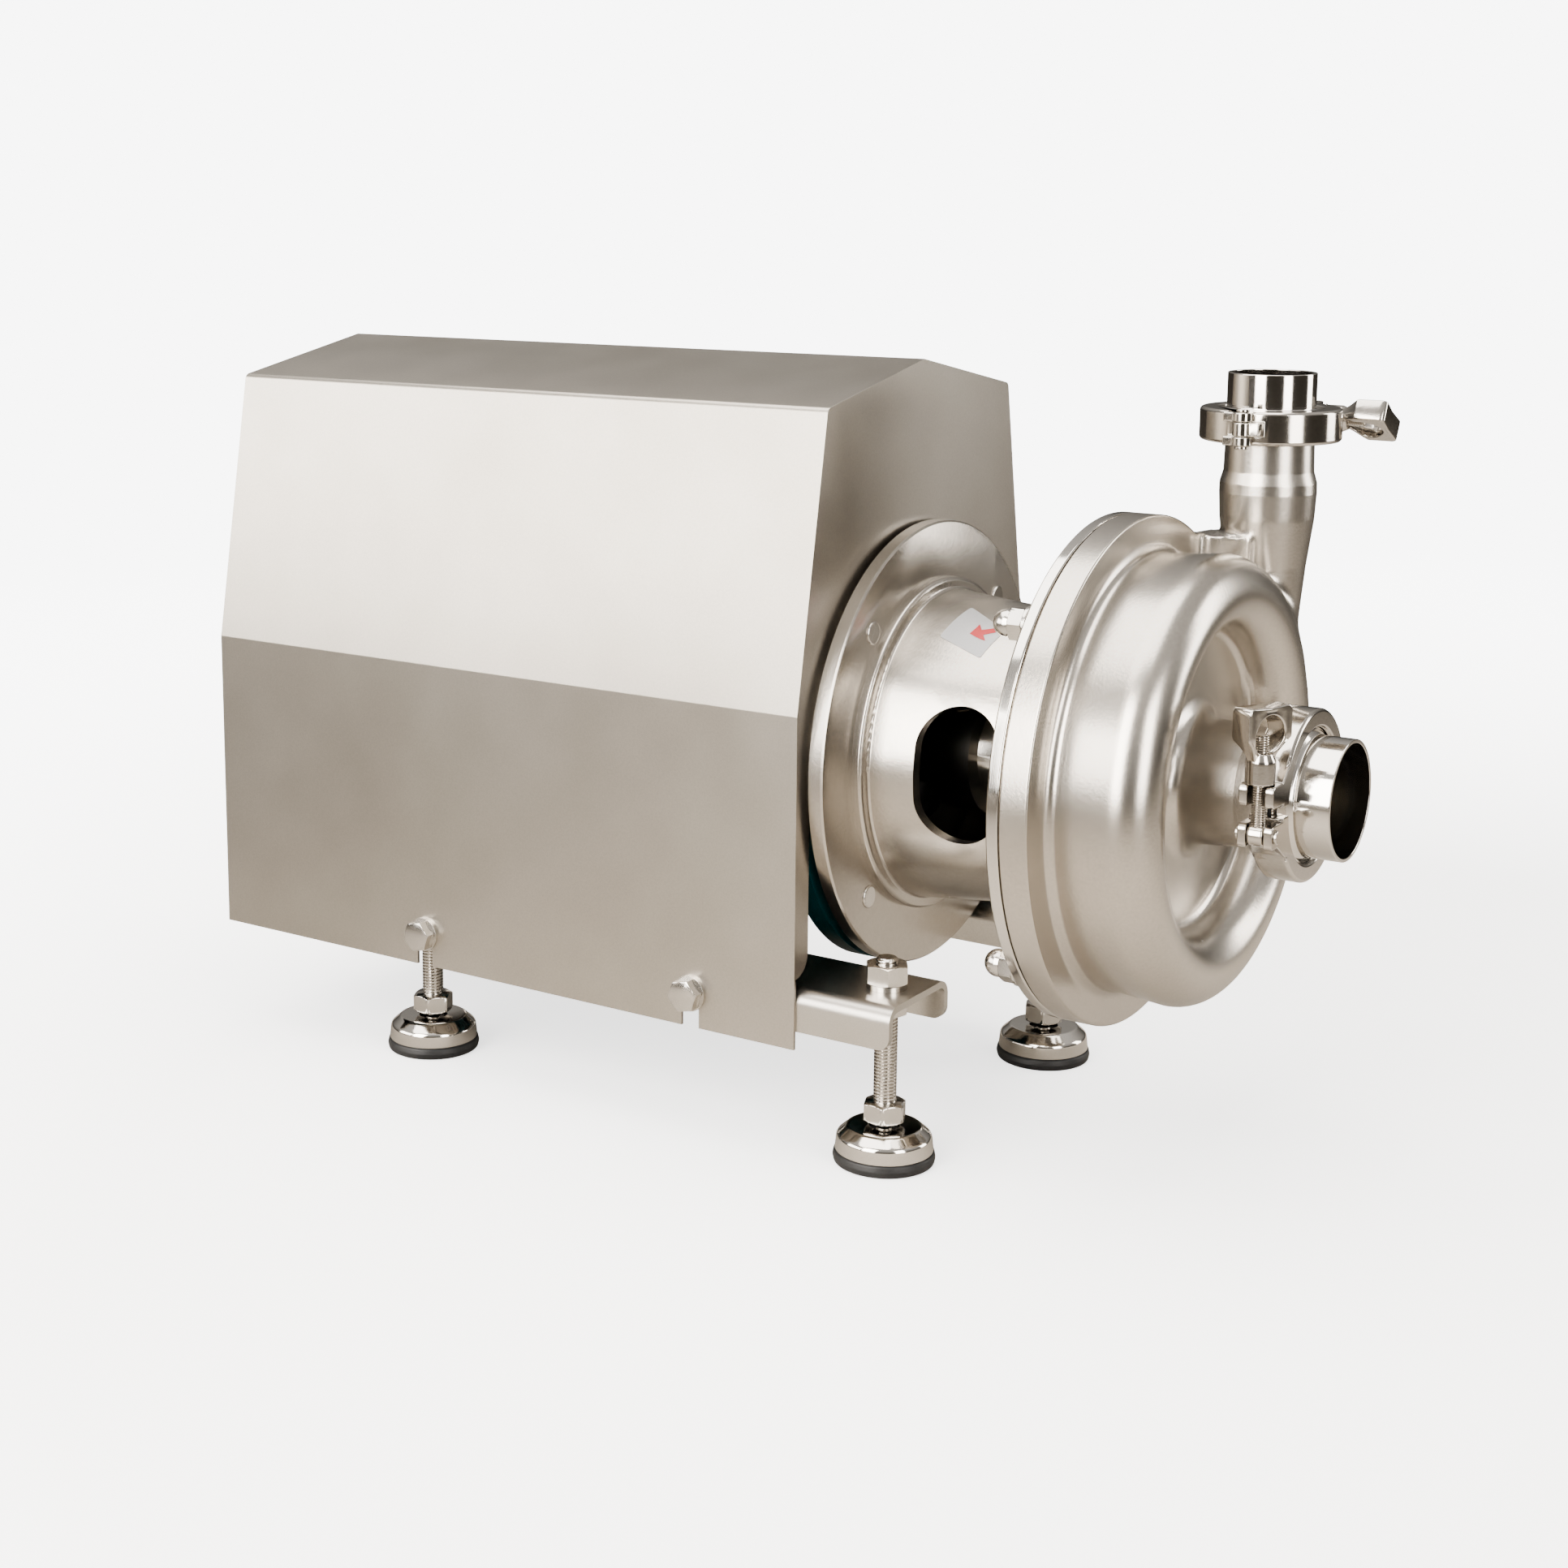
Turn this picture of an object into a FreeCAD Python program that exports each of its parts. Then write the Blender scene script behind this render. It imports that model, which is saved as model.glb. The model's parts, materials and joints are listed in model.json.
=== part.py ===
# Sanitary centrifugal pump: a close-coupled motor under a folded sheet cover, a lantern adapter, a cast casing
# and two clamped ferrule ports, standing on two rails with four levelling feet.
# Millimetres. +X runs along the shaft out of the inlet, +Z is up, +Y is the side of the outlet riser.
# The origin is the centre of the inlet port's free end, on the shaft axis.
import FreeCAD, Part
import math
import os
from FreeCAD import Vector as V

# Ports: ferrule and clamp sizes
inlet_tube_od = 50.8
inlet_rim_od = 64.0
inlet_ring_od = 72.4
outlet_tube_od = 38.1
outlet_rim_od = 50.5
outlet_ring_od = 60.8
tube_wall = 1.65
ferrule_length = 21.5
rim_thickness = 2.85
rim_taper_deg = 20.0
gasket_thickness = 1.6
ring_width = 14.5
ring_lip = 2.8

# Clamp hardware, shared by both clamps
clamp_split = 2.2
bolt_offset = 7.4
bolt_radius = 3.0
bolt_pin_drop = 8.0
bolt_past_seat = 20.0
ear_thickness = 3.6
fixed_ear_height = 9.6
inlet_ear_height = 8.9
outlet_ear_height = 5.4
ear_reach = 4.2
ear_gap = 1.6
ear_slope_run = 7.0
ear_round = 2.4
eye_radius = 4.5
clamp_pin_radius = 2.0
pin_head_radius = 2.9
pin_head_height = 1.4
hinge_offset = 3.2
knuckle_radius = 4.2
knuckle_half = 3.0
nut_barrel_radius = 6.0
nut_barrel_length = 12.0
wing_width = 25.0
wing_length = 32.0
wing_thickness = 7.4
wing_hole_radius = 8.1
wing_hole_rise = 20.2
inlet_wing_turn_deg = 17.0
outlet_wing_turn_deg = 28.0

# Casing
casing_length = 81.0
casing_flange_radius = 110.0
casing_flange_thickness = 12.7
casing_wall = 4.6
body_root_radius = 93.5
crown_centre_radius = 80.5
crown_round = 15.5
crown_from_flange = 28.4
recess_depth = 21.0
hub_radius = 27.6
hub_fillet = 7.0
root_fillet = 4.5
riser_x_back = 68.7
riser_y = 76.0
riser_top_radius = 19.4
riser_swage_radius = 20.7
riser_foot_radius = 15.4
riser_throat_radius = 16.8
riser_flare_radius = 20.3
swage_height = 7.0
swage_rise = 116.5
riser_foot_rise = 20.0
riser_throat_rise = 60.0
riser_flare_rise = 104.0
outlet_rise = 166.8
web_top = 95.5
web_inner_gap = 0.9
neck_length = 38.4

# Back plate, studs and seal
plate_thickness = 5.5
plate_pad_thickness = 6.0
stud_circle_radius = 101.5
stud_radius = 4.0
stud_count = 4
stud_tail = 11.5
stud_washer_radius = 8.0
stud_washer_thickness = 1.6
dome_nut_flats = 13.0
dome_nut_height = 7.0
dome_radius = 5.9
dome_rise = 9.4
seal_bore_radius = 20.0
seal_seat_length = 7.5
seal_ring_length = 6.0
seal_spring_length = 5.6

# Lantern adapter
adapter_length = 74.8
adapter_flange_radius = 100.0
adapter_flange_thickness = 6.5
adapter_pad_radius = 91.0
adapter_gap = 4.5
adapter_root_radius = 69.5
adapter_nose_radius = 62.5
adapter_wall = 5.5
adapter_front_wall = 9.0
adapter_bead_radius = 75.0
adapter_bead_width = 4.6
adapter_bore_radius = 34.0
plate_screw_radius = 3.0
plate_screw_flats = 10.0
plate_screw_head = 4.0
window_width = 37.0
window_height = 59.0
window_x = 44.0
window_rise = 2.0

# Motor: foot and flange mounted, 90 mm shaft height
shaft_height = 90.0
motor_flange_radius = 100.0
motor_flange_thickness = 9.5
motor_spigot_radius = 65.0
motor_spigot_length = 3.5
motor_bolt_circle_radius = 82.5
motor_bolt_radius = 5.0
motor_shaft_radius = 12.0
motor_shaft_length = 50.0
motor_body_radius = 77.0
motor_fin_radius = 86.0
motor_fin_thickness = 2.4
motor_fin_count = 26
motor_body_wall = 6.0
motor_body_length = 182.0
motor_shield_depth = 24.0
motor_neck_radius = 71.0
motor_neck_length = 11.0
foot_hole_from_face = 56.0
foot_hole_pitch = 125.0
foot_hole_half_width = 70.0
motor_foot_thickness = 10.0
motor_foot_pad = 34.0
rotor_core_radius = 40.0
air_gap = 0.5
rotor_core_length = 110.0
fan_radius = 66.0
fan_length = 16.0
fan_cover_length = 62.0
fan_cover_wall = 1.5
terminal_box_height = 58.0
terminal_box_size = 92.0
bearing_bore_radius = 12.5
bearing_outer_radius = 26.0
bearing_width = 15.0
bearing_ball_radius = 4.0
bearing_ball_count = 7

# Pump shaft and impeller
pump_shaft_radius = 12.5
pump_shaft_hub_radius = 19.0
collar_radius = 28.0
collar_width = 20.0
impeller_radius = 79.0
impeller_plate = 4.0
impeller_hub_radius = 20.0
vane_count = 6
vane_thickness = 4.0
vane_sweep_deg = 62.0
vane_gap = 0.9
impeller_nut_radius = 13.0
impeller_nut_length = 15.0

# Cover of folded sheet
cover_sheet = 1.5
cover_length = 331.0
cover_half_width = 105.4
cover_bend_rise = 28.6
cover_eaves_half_width = 83.2
cover_eaves_rise = 155.8
cover_ridge_rise = 171.7
cover_drop = 116.4
cover_leg_width = 11.0
cover_end_drop = 85.5
cover_bend_round = 3.0
cover_slot_width = 9.0
louvre_count = 7
louvre_pitch = 14.0
louvre_height = 5.0
louvre_length = 96.0

# Rails
rail_width = 52.0
rail_height = 18.5
rail_thickness = 3.0
rail_round = 7.0
rail_end_margin = 15.5
cover_bolt_drop = 11.0
cover_bolt_front = 62.0
cover_bolt_rear = 212.5
cover_leg_round = 10.0

# Levelling feet
ride_height = 167.6
foot_front = 20.7
foot_rear = 230.4
foot_half_width = 78.3
foot_rod_radius = 5.0
foot_rod_top = 13.5
foot_nut_flats = 17.0
foot_nut_height = 8.4
weld_nut_height = 8.0
lock_washer_thickness = 2.4
lock_washer_radius = 8.8
foot_hex_height = 8.9
pad_radius = 22.2
pad_height = 5.3
pad_plug_radius = 18.5
pad_plug_height = 1.2
cap_radius = 21.3
cap_top_radius = 20.3
cap_height = 10.8
ball_radius = 4.5
ball_rise = 11.6
ball_neck_radius = 3.5
pad_tilt_deg = 5.0
cap_gap = 1.1

# Clearances
running_clearance = 0.06
body_clearance = 0.3
fit_clearance = 0.05

# Stations along the shaft
inlet_plane_x = -(ferrule_length + gasket_thickness / 2)
mouth_x = inlet_plane_x - gasket_thickness / 2
casing_back_x = mouth_x - casing_length
casing_front_x = casing_back_x + casing_flange_thickness
plate_back_x = casing_back_x - plate_thickness
nose_x = plate_back_x - plate_pad_thickness
adapter_x = nose_x - adapter_length
flange_rear_x = adapter_x - adapter_flange_thickness
motor_x = flange_rear_x - adapter_gap
motor_flange_back_x = motor_x - motor_flange_thickness
motor_body_x = motor_flange_back_x - motor_shield_depth
motor_rear_x = motor_body_x - motor_body_length
cover_front_x = motor_x + cover_sheet + body_clearance + 0.2
cover_rear_x = cover_front_x - cover_length
rail_z = -shaft_height
floor_z = -ride_height
riser_x = -riser_x_back
outlet_plane_z = outlet_rise - ferrule_length - gasket_thickness / 2
riser_mouth_z = outlet_plane_z - gasket_thickness / 2
floor_x = casing_back_x + crown_from_flange + casing_flange_thickness + crown_round - recess_depth
crown_x = casing_back_x + casing_flange_thickness + crown_from_flange
floor_inside_x = floor_x - casing_wall
seal_back_x = casing_back_x - seal_seat_length + 0.5
rail_half_y = cover_half_width - cover_sheet - rail_width / 2

axis_x = V(1, 0, 0)
axis_y = V(0, 1, 0)
axis_z = V(0, 0, 1)


def path(start, *steps):
    # edges from start; a step is an end point for a line, or a mid point and an end point for an arc
    edges = []
    here = V(*start)
    for step in steps:
        if isinstance(step[0], tuple):
            end = V(*step[1])
            edges.append(Part.Arc(here, V(*step[0]), end).toShape())
        else:
            end = V(*step)
            if end.distanceToPoint(here) > 1e-6:
                edges.append(Part.LineSegment(here, end).toShape())
        here = end
    if here.distanceToPoint(V(*start)) > 1e-6:
        edges.append(Part.LineSegment(here, V(*start)).toShape())
    return Part.Wire(edges)


def turned(start, *steps):
    # a profile of (x, radius) points carried round the shaft axis
    def lift(p):
        return (p[0], 0.0, p[1])

    lifted = []
    for step in steps:
        lifted.append((lift(step[0]), lift(step[1])) if isinstance(step[0], tuple) else lift(step))
    face = Part.Face(path(lift(start), *lifted))
    return face.revolve(V(0, 0, 0), axis_x, 360)


def round_mid(centre, radius, angle_deg):
    # a point on a circle in the profile plane, for the middle of an arc
    a = math.radians(angle_deg)
    return (centre[0] + radius * math.cos(a), centre[1] + radius * math.sin(a))


def rod(radius, start, length, direction=axis_x):
    return Part.makeCylinder(radius, length, V(*start), direction)


def pipe_x(outer, inner, x0, x1):
    return rod(outer, (x0, 0, 0), x1 - x0).cut(rod(inner, (x0 - 1, 0, 0), x1 - x0 + 2))


def box(x0, x1, y0, y1, z0, z1):
    return Part.makeBox(x1 - x0, y1 - y0, z1 - z0, V(x0, y0, z0))


def hexagon(flats, start, length, direction=axis_x, turn_deg=0.0):
    # a six-sided bar with its corners turned off at both ends
    corner = flats / math.sqrt(3)
    points = [V(corner * math.cos(math.radians(60 * k)), corner * math.sin(math.radians(60 * k)), 0) for k in range(7)]
    bar = Part.Face(Part.makePolygon(points)).extrude(V(0, 0, length))
    bevel = corner - flats / 2
    blank = Part.makeCone(flats / 2, corner, bevel / 2, V(0, 0, 0), axis_z)
    blank = blank.fuse(rod(corner, (0, 0, bevel / 2), length - bevel, axis_z))
    blank = blank.fuse(Part.makeCone(corner, flats / 2, bevel / 2, V(0, 0, length - bevel / 2), axis_z))
    bar = bar.common(blank)
    bar.rotate(V(0, 0, 0), axis_z, turn_deg)
    bar.Placement = FreeCAD.Placement(V(*start), FreeCAD.Rotation(axis_z, direction)).multiply(bar.Placement)
    return bar


def around(count, first_deg=0.0):
    return [first_deg + 360.0 * k / count for k in range(count)]


def on_circle(radius, angle_deg):
    # a point of the plane across the shaft; 0 degrees is +Y and 90 degrees is up
    a = math.radians(angle_deg)
    return radius * math.cos(a), radius * math.sin(a)


def fuse_all(shapes):
    result = shapes[0]
    if len(shapes) > 1:
        result = result.fuse(shapes[1:])
    return result.removeSplitter()


def group(shapes):
    return Part.makeCompound(shapes)


# Cover

def cover_section(inset, eaves_drop):
    # half-open section of the folded sheet, looking along the shaft
    half = cover_half_width - inset
    eaves = cover_eaves_half_width - inset
    points = [
        (half, -cover_drop),
        (half, cover_bend_rise - eaves_drop / 3),
        (eaves, cover_eaves_rise - eaves_drop),
        (0.0, cover_ridge_rise - inset),
    ]
    return points + [(-y, z) for y, z in reversed(points[:-1])]


def cover_prism(inset, x0, x1, low):
    points = cover_section(inset, inset)
    points[0] = (points[0][0], low)
    points[-1] = (points[-1][0], low)
    wire = Part.makePolygon([V(x0, y, z) for y, z in points + points[:1]])
    solid = Part.Face(wire).extrude(V(x1 - x0, 0, 0))
    radius = max(cover_bend_round - inset, 0.8)
    folds = [e for e in solid.Edges if is_fold(e)]
    return solid.makeFillet(radius, folds)


def is_fold(edge):
    # a fold is a long edge along the shaft above the open bottom, other than the ridge
    a, b = edge.Vertexes[0].Point, edge.Vertexes[-1].Point
    along = abs(a.y - b.y) < 1e-6 and abs(a.z - b.z) < 1e-6
    return along and cover_bend_rise - 10 < a.z < cover_ridge_rise - 5


def cover():
    shell = cover_prism(0.0, cover_rear_x, cover_front_x, -cover_drop)
    hollow = cover_prism(cover_sheet, cover_rear_x + cover_sheet, cover_front_x - cover_sheet, -cover_drop - 5)
    shell = shell.cut(hollow)
    # the end plates stop above the rails
    inner = cover_half_width - cover_sheet
    for x0 in (cover_rear_x - 1, cover_front_x - cover_sheet - 1):
        shell = shell.cut(box(x0, x0 + cover_sheet + 2, -inner, inner, -cover_drop - 5, -cover_end_drop))
    shell = shell.cut(cover_neck())
    shell = shell.cut(fuse_all(louvres()))
    for x in cover_bolt_stations():
        shell = shell.cut(cover_slot(x))
    return shell


def cover_neck():
    # an arch in the front plate, open at the bottom, that drops over the motor behind its flange rim
    half = cover_half_width - cover_leg_width
    x0 = cover_front_x - cover_sheet - 1
    run = cover_sheet + 2
    arch = rod(half, (x0, 0, 0), run)
    legs = box(x0, x0 + run, -half, half, -cover_end_drop - 20, 0)
    neck = arch.fuse(legs)
    # the legs' inner corners are rounded off at the bottom
    low = -cover_end_drop
    r = cover_leg_round
    for side in (-1, 1):
        y0, y1 = sorted((side * half, side * (half + r)))
        corner = box(x0, x0 + run, y0, y1, low - 1, low + r)
        neck = neck.fuse(corner.cut(rod(r, (x0 - 1, side * (half + r), low + r), run + 2)))
    return neck


def louvres():
    # slots in the rear plate, behind the fan
    slots = []
    x0 = cover_rear_x - 1
    run = cover_sheet + 2
    half = louvre_length / 2
    for k in range(louvre_count):
        z = (k - (louvre_count - 1) / 2) * louvre_pitch
        r = louvre_height / 2
        slot = box(x0, x0 + run, -half, half, z - r, z + r)
        slot = slot.fuse(rod(r, (x0, -half, z), run)).fuse(rod(r, (x0, half, z), run))
        slots.append(slot)
    return slots


def cover_bolt_stations():
    return [adapter_x - cover_bolt_front, adapter_x - cover_bolt_rear]


def cover_slot(x):
    # an open-ended slot in the lower edge of both side panels
    z = rail_z - cover_bolt_drop
    r = cover_slot_width / 2
    wide = 2 * cover_half_width + 4
    start = (x, -cover_half_width - 2, z)
    top = rod(r, start, wide, axis_y)
    return top.fuse(box(x - r, x + r, start[1], start[1] + wide, -cover_drop - 5, z))


def cover_bolts():
    z = rail_z - cover_bolt_drop
    pieces = []
    for x in cover_bolt_stations():
        for side in (-1, 1):
            face = side * cover_half_width
            outward = V(0, side, 0)
            washer = rod(8.0, (x, face, z), 1.6, outward).cut(rod(4.2, (x, face, z), 1.6, outward))
            head = hexagon(13.0, (x, face + side * 1.6, z), 5.3, outward, 12.0)
            shank_start = (x, face + side * 1.6, z)
            shank = rod(4.0, shank_start, 1.6 + cover_sheet + rail_thickness + 4.5, V(0, -side, 0))
            pieces.append(head.fuse(shank).removeSplitter())
            pieces.append(washer)
    return group(pieces)


# Rails

def rail(side):
    # an upside-down channel with rounded folds and rounded ends of its flanges
    half = rail_width / 2
    y = side * rail_half_y
    x0 = adapter_x - foot_rear - rail_end_margin
    x1 = adapter_x + foot_front + rail_end_margin

    def channel(inset, low):
        h = half - inset
        r = rail_round - inset
        top = rail_z - inset
        s = r * (1 - math.sqrt(0.5))
        wire = path(
            (x0, y - h, low), (x0, y - h, top - r), ((x0, y - h + s, top - s), (x0, y - h + r, top)),
            (x0, y + h - r, top), ((x0, y + h - s, top - s), (x0, y + h, top - r)), (x0, y + h, low))
        return Part.Face(wire).extrude(V(x1 - x0, 0, 0))

    low = rail_z - rail_height
    body = channel(0.0, low).cut(channel(rail_thickness, low - 1))
    corner = 6.0
    for x, inward in ((x0, 1), (x1, -1)):
        cutter = box(min(x, x + inward * corner), max(x, x + inward * corner), y - half - 1, y + half + 1, low, low + corner)
        body = body.cut(cutter.cut(rod(corner, (x + inward * corner, y - half - 2, low + corner), rail_width + 4, axis_y)))
    for x in (adapter_x + foot_front, adapter_x - foot_rear):
        # a weld nut under the top carries each foot's thread
        low_nut = rail_z - rail_thickness - weld_nut_height
        nut = hexagon(foot_nut_flats, (x, side * foot_half_width, low_nut), weld_nut_height, axis_z)
        bore = rod(foot_rod_radius + running_clearance, (x, side * foot_half_width, low_nut - 1), 20, axis_z)
        body = body.fuse(nut).cut(bore)
    for x in cover_bolt_stations():
        start = (x, side * (cover_half_width + 1), rail_z - cover_bolt_drop)
        body = body.cut(rod(4.0, start, cover_sheet + rail_thickness + 2, V(0, -side, 0)))
    for x in motor_foot_stations():
        start = (x, side * foot_hole_half_width, rail_z - rail_thickness - 1)
        body = body.cut(rod(4.0, start, rail_thickness + 2, axis_z))
    return body


# Levelling feet

def foot_places():
    front = adapter_x + foot_front
    rear = adapter_x - foot_rear
    return {
        "front_near": (front, -foot_half_width),
        "front_far": (front, foot_half_width),
        "rear_near": (rear, -foot_half_width),
        "rear_far": (rear, foot_half_width),
    }


cap_top_z = floor_z + pad_height + cap_height
foot_hex_z = cap_top_z + cap_gap
ball_z = floor_z + ball_rise


def foot_rod(x, y):
    top = rail_z + foot_rod_top
    stem = rod(foot_rod_radius, (x, y, foot_hex_z + 1), top - foot_hex_z - 2, axis_z)
    tip = Part.makeCone(foot_rod_radius, foot_rod_radius - 1, 1, V(x, y, top - 1), axis_z)
    hexed = hexagon(foot_nut_flats, (x, y, foot_hex_z), foot_hex_height, axis_z, 20.0)
    neck = rod(ball_neck_radius, (x, y, ball_z), foot_hex_z - ball_z + 1, axis_z)
    ball = Part.makeSphere(ball_radius, V(x, y, ball_z))
    return fuse_all([stem, tip, hexed, neck, ball])


def foot_cap(x, y):
    # a turned steel cup, with a ball socket and a flared mouth for the neck
    low = floor_z + pad_height
    edge = 1.6
    profile = [
        (0.0, low + pad_plug_height), (pad_plug_radius, low + pad_plug_height), (pad_plug_radius, low), (cap_radius, low),
        (cap_top_radius, cap_top_z - edge), (cap_top_radius - edge, cap_top_z), (0.0, cap_top_z)]
    wire = Part.makePolygon([V(r, 0, z) for r, z in profile + profile[:1]])
    cup = Part.Face(wire).revolve(V(0, 0, 0), axis_z, 360)
    cup.translate(V(x, y, 0))
    socket = Part.makeSphere(ball_radius + running_clearance, V(x, y, ball_z))
    lean = math.tan(math.radians(pad_tilt_deg + 1.5))
    top = cap_top_z - ball_z
    mouth = Part.makeCone(
        ball_neck_radius + 0.2, ball_neck_radius + 0.2 + top * lean, top, V(x, y, ball_z), axis_z)
    return cup.cut(socket).cut(mouth)


def foot_pad(x, y):
    bevel = 1.0
    disc = rod(pad_radius, (x, y, floor_z + bevel), pad_height - bevel, axis_z)
    lip = Part.makeCone(pad_radius - bevel, pad_radius, bevel, V(x, y, floor_z), axis_z)
    plug = rod(pad_plug_radius, (x, y, floor_z + pad_height), pad_plug_height, axis_z)
    return fuse_all([disc, lip, plug])


def foot_lock_nuts():
    pieces = []
    bore = foot_rod_radius + running_clearance
    for x, y in foot_places().values():
        ring = rod(lock_washer_radius, (x, y, rail_z), lock_washer_thickness, axis_z)
        nut = hexagon(foot_nut_flats, (x, y, rail_z + lock_washer_thickness), foot_nut_height, axis_z, 2.0)
        hole = rod(bore, (x, y, rail_z - 1), foot_nut_height + lock_washer_thickness + 2, axis_z)
        pieces += [ring.cut(hole), nut.cut(hole)]
    return group(pieces)


# Motor

def motor_foot_stations():
    return [motor_x - foot_hole_from_face, motor_x - foot_hole_from_face - foot_hole_pitch]


def motor_frame():
    x0, x1 = motor_rear_x, motor_body_x
    body = rod(motor_body_radius, (x0, 0, 0), x1 - x0)
    parts = [body]
    for angle in around(motor_fin_count, 360.0 / motor_fin_count / 2):
        fin = box(x0 + 6, x1 - 6, motor_body_radius - 3, motor_fin_radius, -motor_fin_thickness / 2, motor_fin_thickness / 2)
        fin.rotate(V(0, 0, 0), axis_x, angle)
        if not 62 < angle < 118:
            parts.append(fin)
    half = motor_foot_pad / 2
    inner = foot_hole_half_width - half
    outer = foot_hole_half_width + half - 2
    for x in motor_foot_stations():
        for side in (-1, 1):
            low, high = sorted((side * inner, side * outer))
            foot = box(x - half, x + half, low, high, -shaft_height, -shaft_height + motor_foot_thickness)
            web_low, web_high = sorted((side * 30, side * (inner + 8)))
            web = box(x - 5, x + 5, web_low, web_high, -shaft_height, -45)
            parts += [foot, web]
    seat = motor_body_radius + 7
    size = terminal_box_size / 2 - 6
    centre = terminal_box_x()
    parts.append(box(centre - size, centre + size, -size, size, motor_body_radius - 20, seat))
    frame = fuse_all(parts)
    frame = frame.cut(rod(motor_body_radius - motor_body_wall, (x0 - 1, 0, 0), x1 - x0 + 2))
    for x in motor_foot_stations():
        for side in (-1, 1):
            frame = frame.cut(rod(5.0, (x, side * foot_hole_half_width, -shaft_height - 1), 60, axis_z))
    return frame


def terminal_box_x():
    return motor_body_x - 20 - terminal_box_size / 2


def motor_foot_bolts():
    pieces = []
    for x in motor_foot_stations():
        for side in (-1, 1):
            y = side * foot_hole_half_width
            top = -shaft_height + motor_foot_thickness
            head = hexagon(13.0, (x, y, top), 5.3, axis_z)
            shank = rod(4.0, (x, y, -shaft_height - rail_thickness - 3), motor_foot_thickness + rail_thickness + 4, axis_z)
            pieces.append(head.fuse(shank).removeSplitter())
    return group(pieces)


def drive_end_shield():
    # the flange, the spigot that centres the adapter, and the bell that carries the front bearing
    back = motor_body_x
    bore = bearing_outer_radius + fit_clearance
    bearing_front = motor_flange_back_x + 1
    shell = turned(
        (motor_x + motor_spigot_length, 40.0), (motor_x + motor_spigot_length, motor_spigot_radius),
        (motor_x, motor_spigot_radius), (motor_x, motor_flange_radius), (motor_flange_back_x, motor_flange_radius),
        (motor_flange_back_x, motor_neck_radius), (motor_flange_back_x - motor_neck_length, motor_neck_radius),
        (back, motor_fin_radius - 2), (back, 66.0),
        (motor_flange_back_x - 4, 60.0), (motor_flange_back_x - 4, 34.0), (back + 4, 34.0), (back + 4, bore),
        (bearing_front, bore), (bearing_front, 17.0), (motor_x - 2, 17.0), (motor_x - 2, 40.0))
    for angle in around(4, 45.0):
        y, z = on_circle(motor_bolt_circle_radius, angle)
        shell = shell.cut(rod(6.0, (motor_flange_back_x - 20, y, z), 50))
    return shell


def rear_end_shield():
    x0 = motor_rear_x
    bore = bearing_outer_radius + fit_clearance
    return turned(
        (x0, motor_fin_radius - 4), (x0 - 10, motor_fin_radius - 8), (x0 - 12, 40.0), (x0 - 12, 15.0), (x0 - 8, 15.0),
        (x0 - 8, bore), (x0 + 12, bore), (x0 + 12, 34.0), (x0 - 4, 34.0), (x0 - 4, 60.0), (x0, 66.0))


def bearing_stations():
    return [motor_flange_back_x + 1 - bearing_width, motor_rear_x - 8]


def bearing_rings(inner):
    pieces = []
    pitch = (bearing_bore_radius + bearing_outer_radius) / 2
    for x in bearing_stations():
        if inner:
            ring = pipe_x(pitch - bearing_ball_radius + 1.2, bearing_bore_radius, x, x + bearing_width)
            ring = ring.cut(Part.makeTorus(pitch, bearing_ball_radius + fit_clearance, V(x + bearing_width / 2, 0, 0), axis_x))
            pieces.append(ring)
            continue
        ring = pipe_x(bearing_outer_radius, pitch + bearing_ball_radius - 1.2, x, x + bearing_width)
        ring = ring.cut(Part.makeTorus(pitch, bearing_ball_radius + fit_clearance, V(x + bearing_width / 2, 0, 0), axis_x))
        pieces.append(ring)
        for angle in around(bearing_ball_count):
            y, z = on_circle(pitch, angle)
            pieces.append(Part.makeSphere(bearing_ball_radius, V(x + bearing_width / 2, y, z)))
    return group(pieces)


def stator_span():
    middle = (motor_body_x + motor_rear_x) / 2
    return middle - rotor_core_length / 2, middle + rotor_core_length / 2


def stator():
    # the laminated core and the two rings of end windings
    x0, x1 = stator_span()
    inner = rotor_core_radius + air_gap
    core = pipe_x(motor_body_radius - motor_body_wall, inner, x0, x1)
    coil_in = inner + 6
    coil_out = motor_body_radius - motor_body_wall - 8
    front = pipe_x(coil_out, coil_in, x1, x1 + 20)
    rear = pipe_x(coil_out, coil_in, x0 - 20, x0)
    return group([core, front, rear])


def fan_cover():
    x1 = motor_rear_x - 10
    x0 = x1 - fan_cover_length
    r = motor_fin_radius - 8
    cup = rod(r + fan_cover_wall, (x0, 0, 0), x1 - x0).cut(rod(r, (x0 + fan_cover_wall, 0, 0), x1 - x0))
    for angle in around(12):
        slot = box(x0 - 1, x0 + fan_cover_wall + 1, 20, r - 10, -5.0, 5.0)
        slot.rotate(V(0, 0, 0), axis_x, angle)
        cup = cup.cut(slot)
    return cup


def cooling_fan():
    x0 = motor_rear_x - 22 - fan_length
    plate = rod(fan_radius, (x0 + fan_length - 3, 0, 0), 3)
    hub = rod(18.0, (x0, 0, 0), fan_length)
    blades = []
    for angle in around(7):
        blade = box(x0, x0 + fan_length, 14, fan_radius - 1, -1.25, 1.25)
        blade.rotate(V(0, 0, 0), axis_x, angle)
        blades.append(blade)
    fan = fuse_all([plate, hub] + blades)
    return fan.cut(rod(11.0, (x0 - 1, 0, 0), fan_length + 2))


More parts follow.
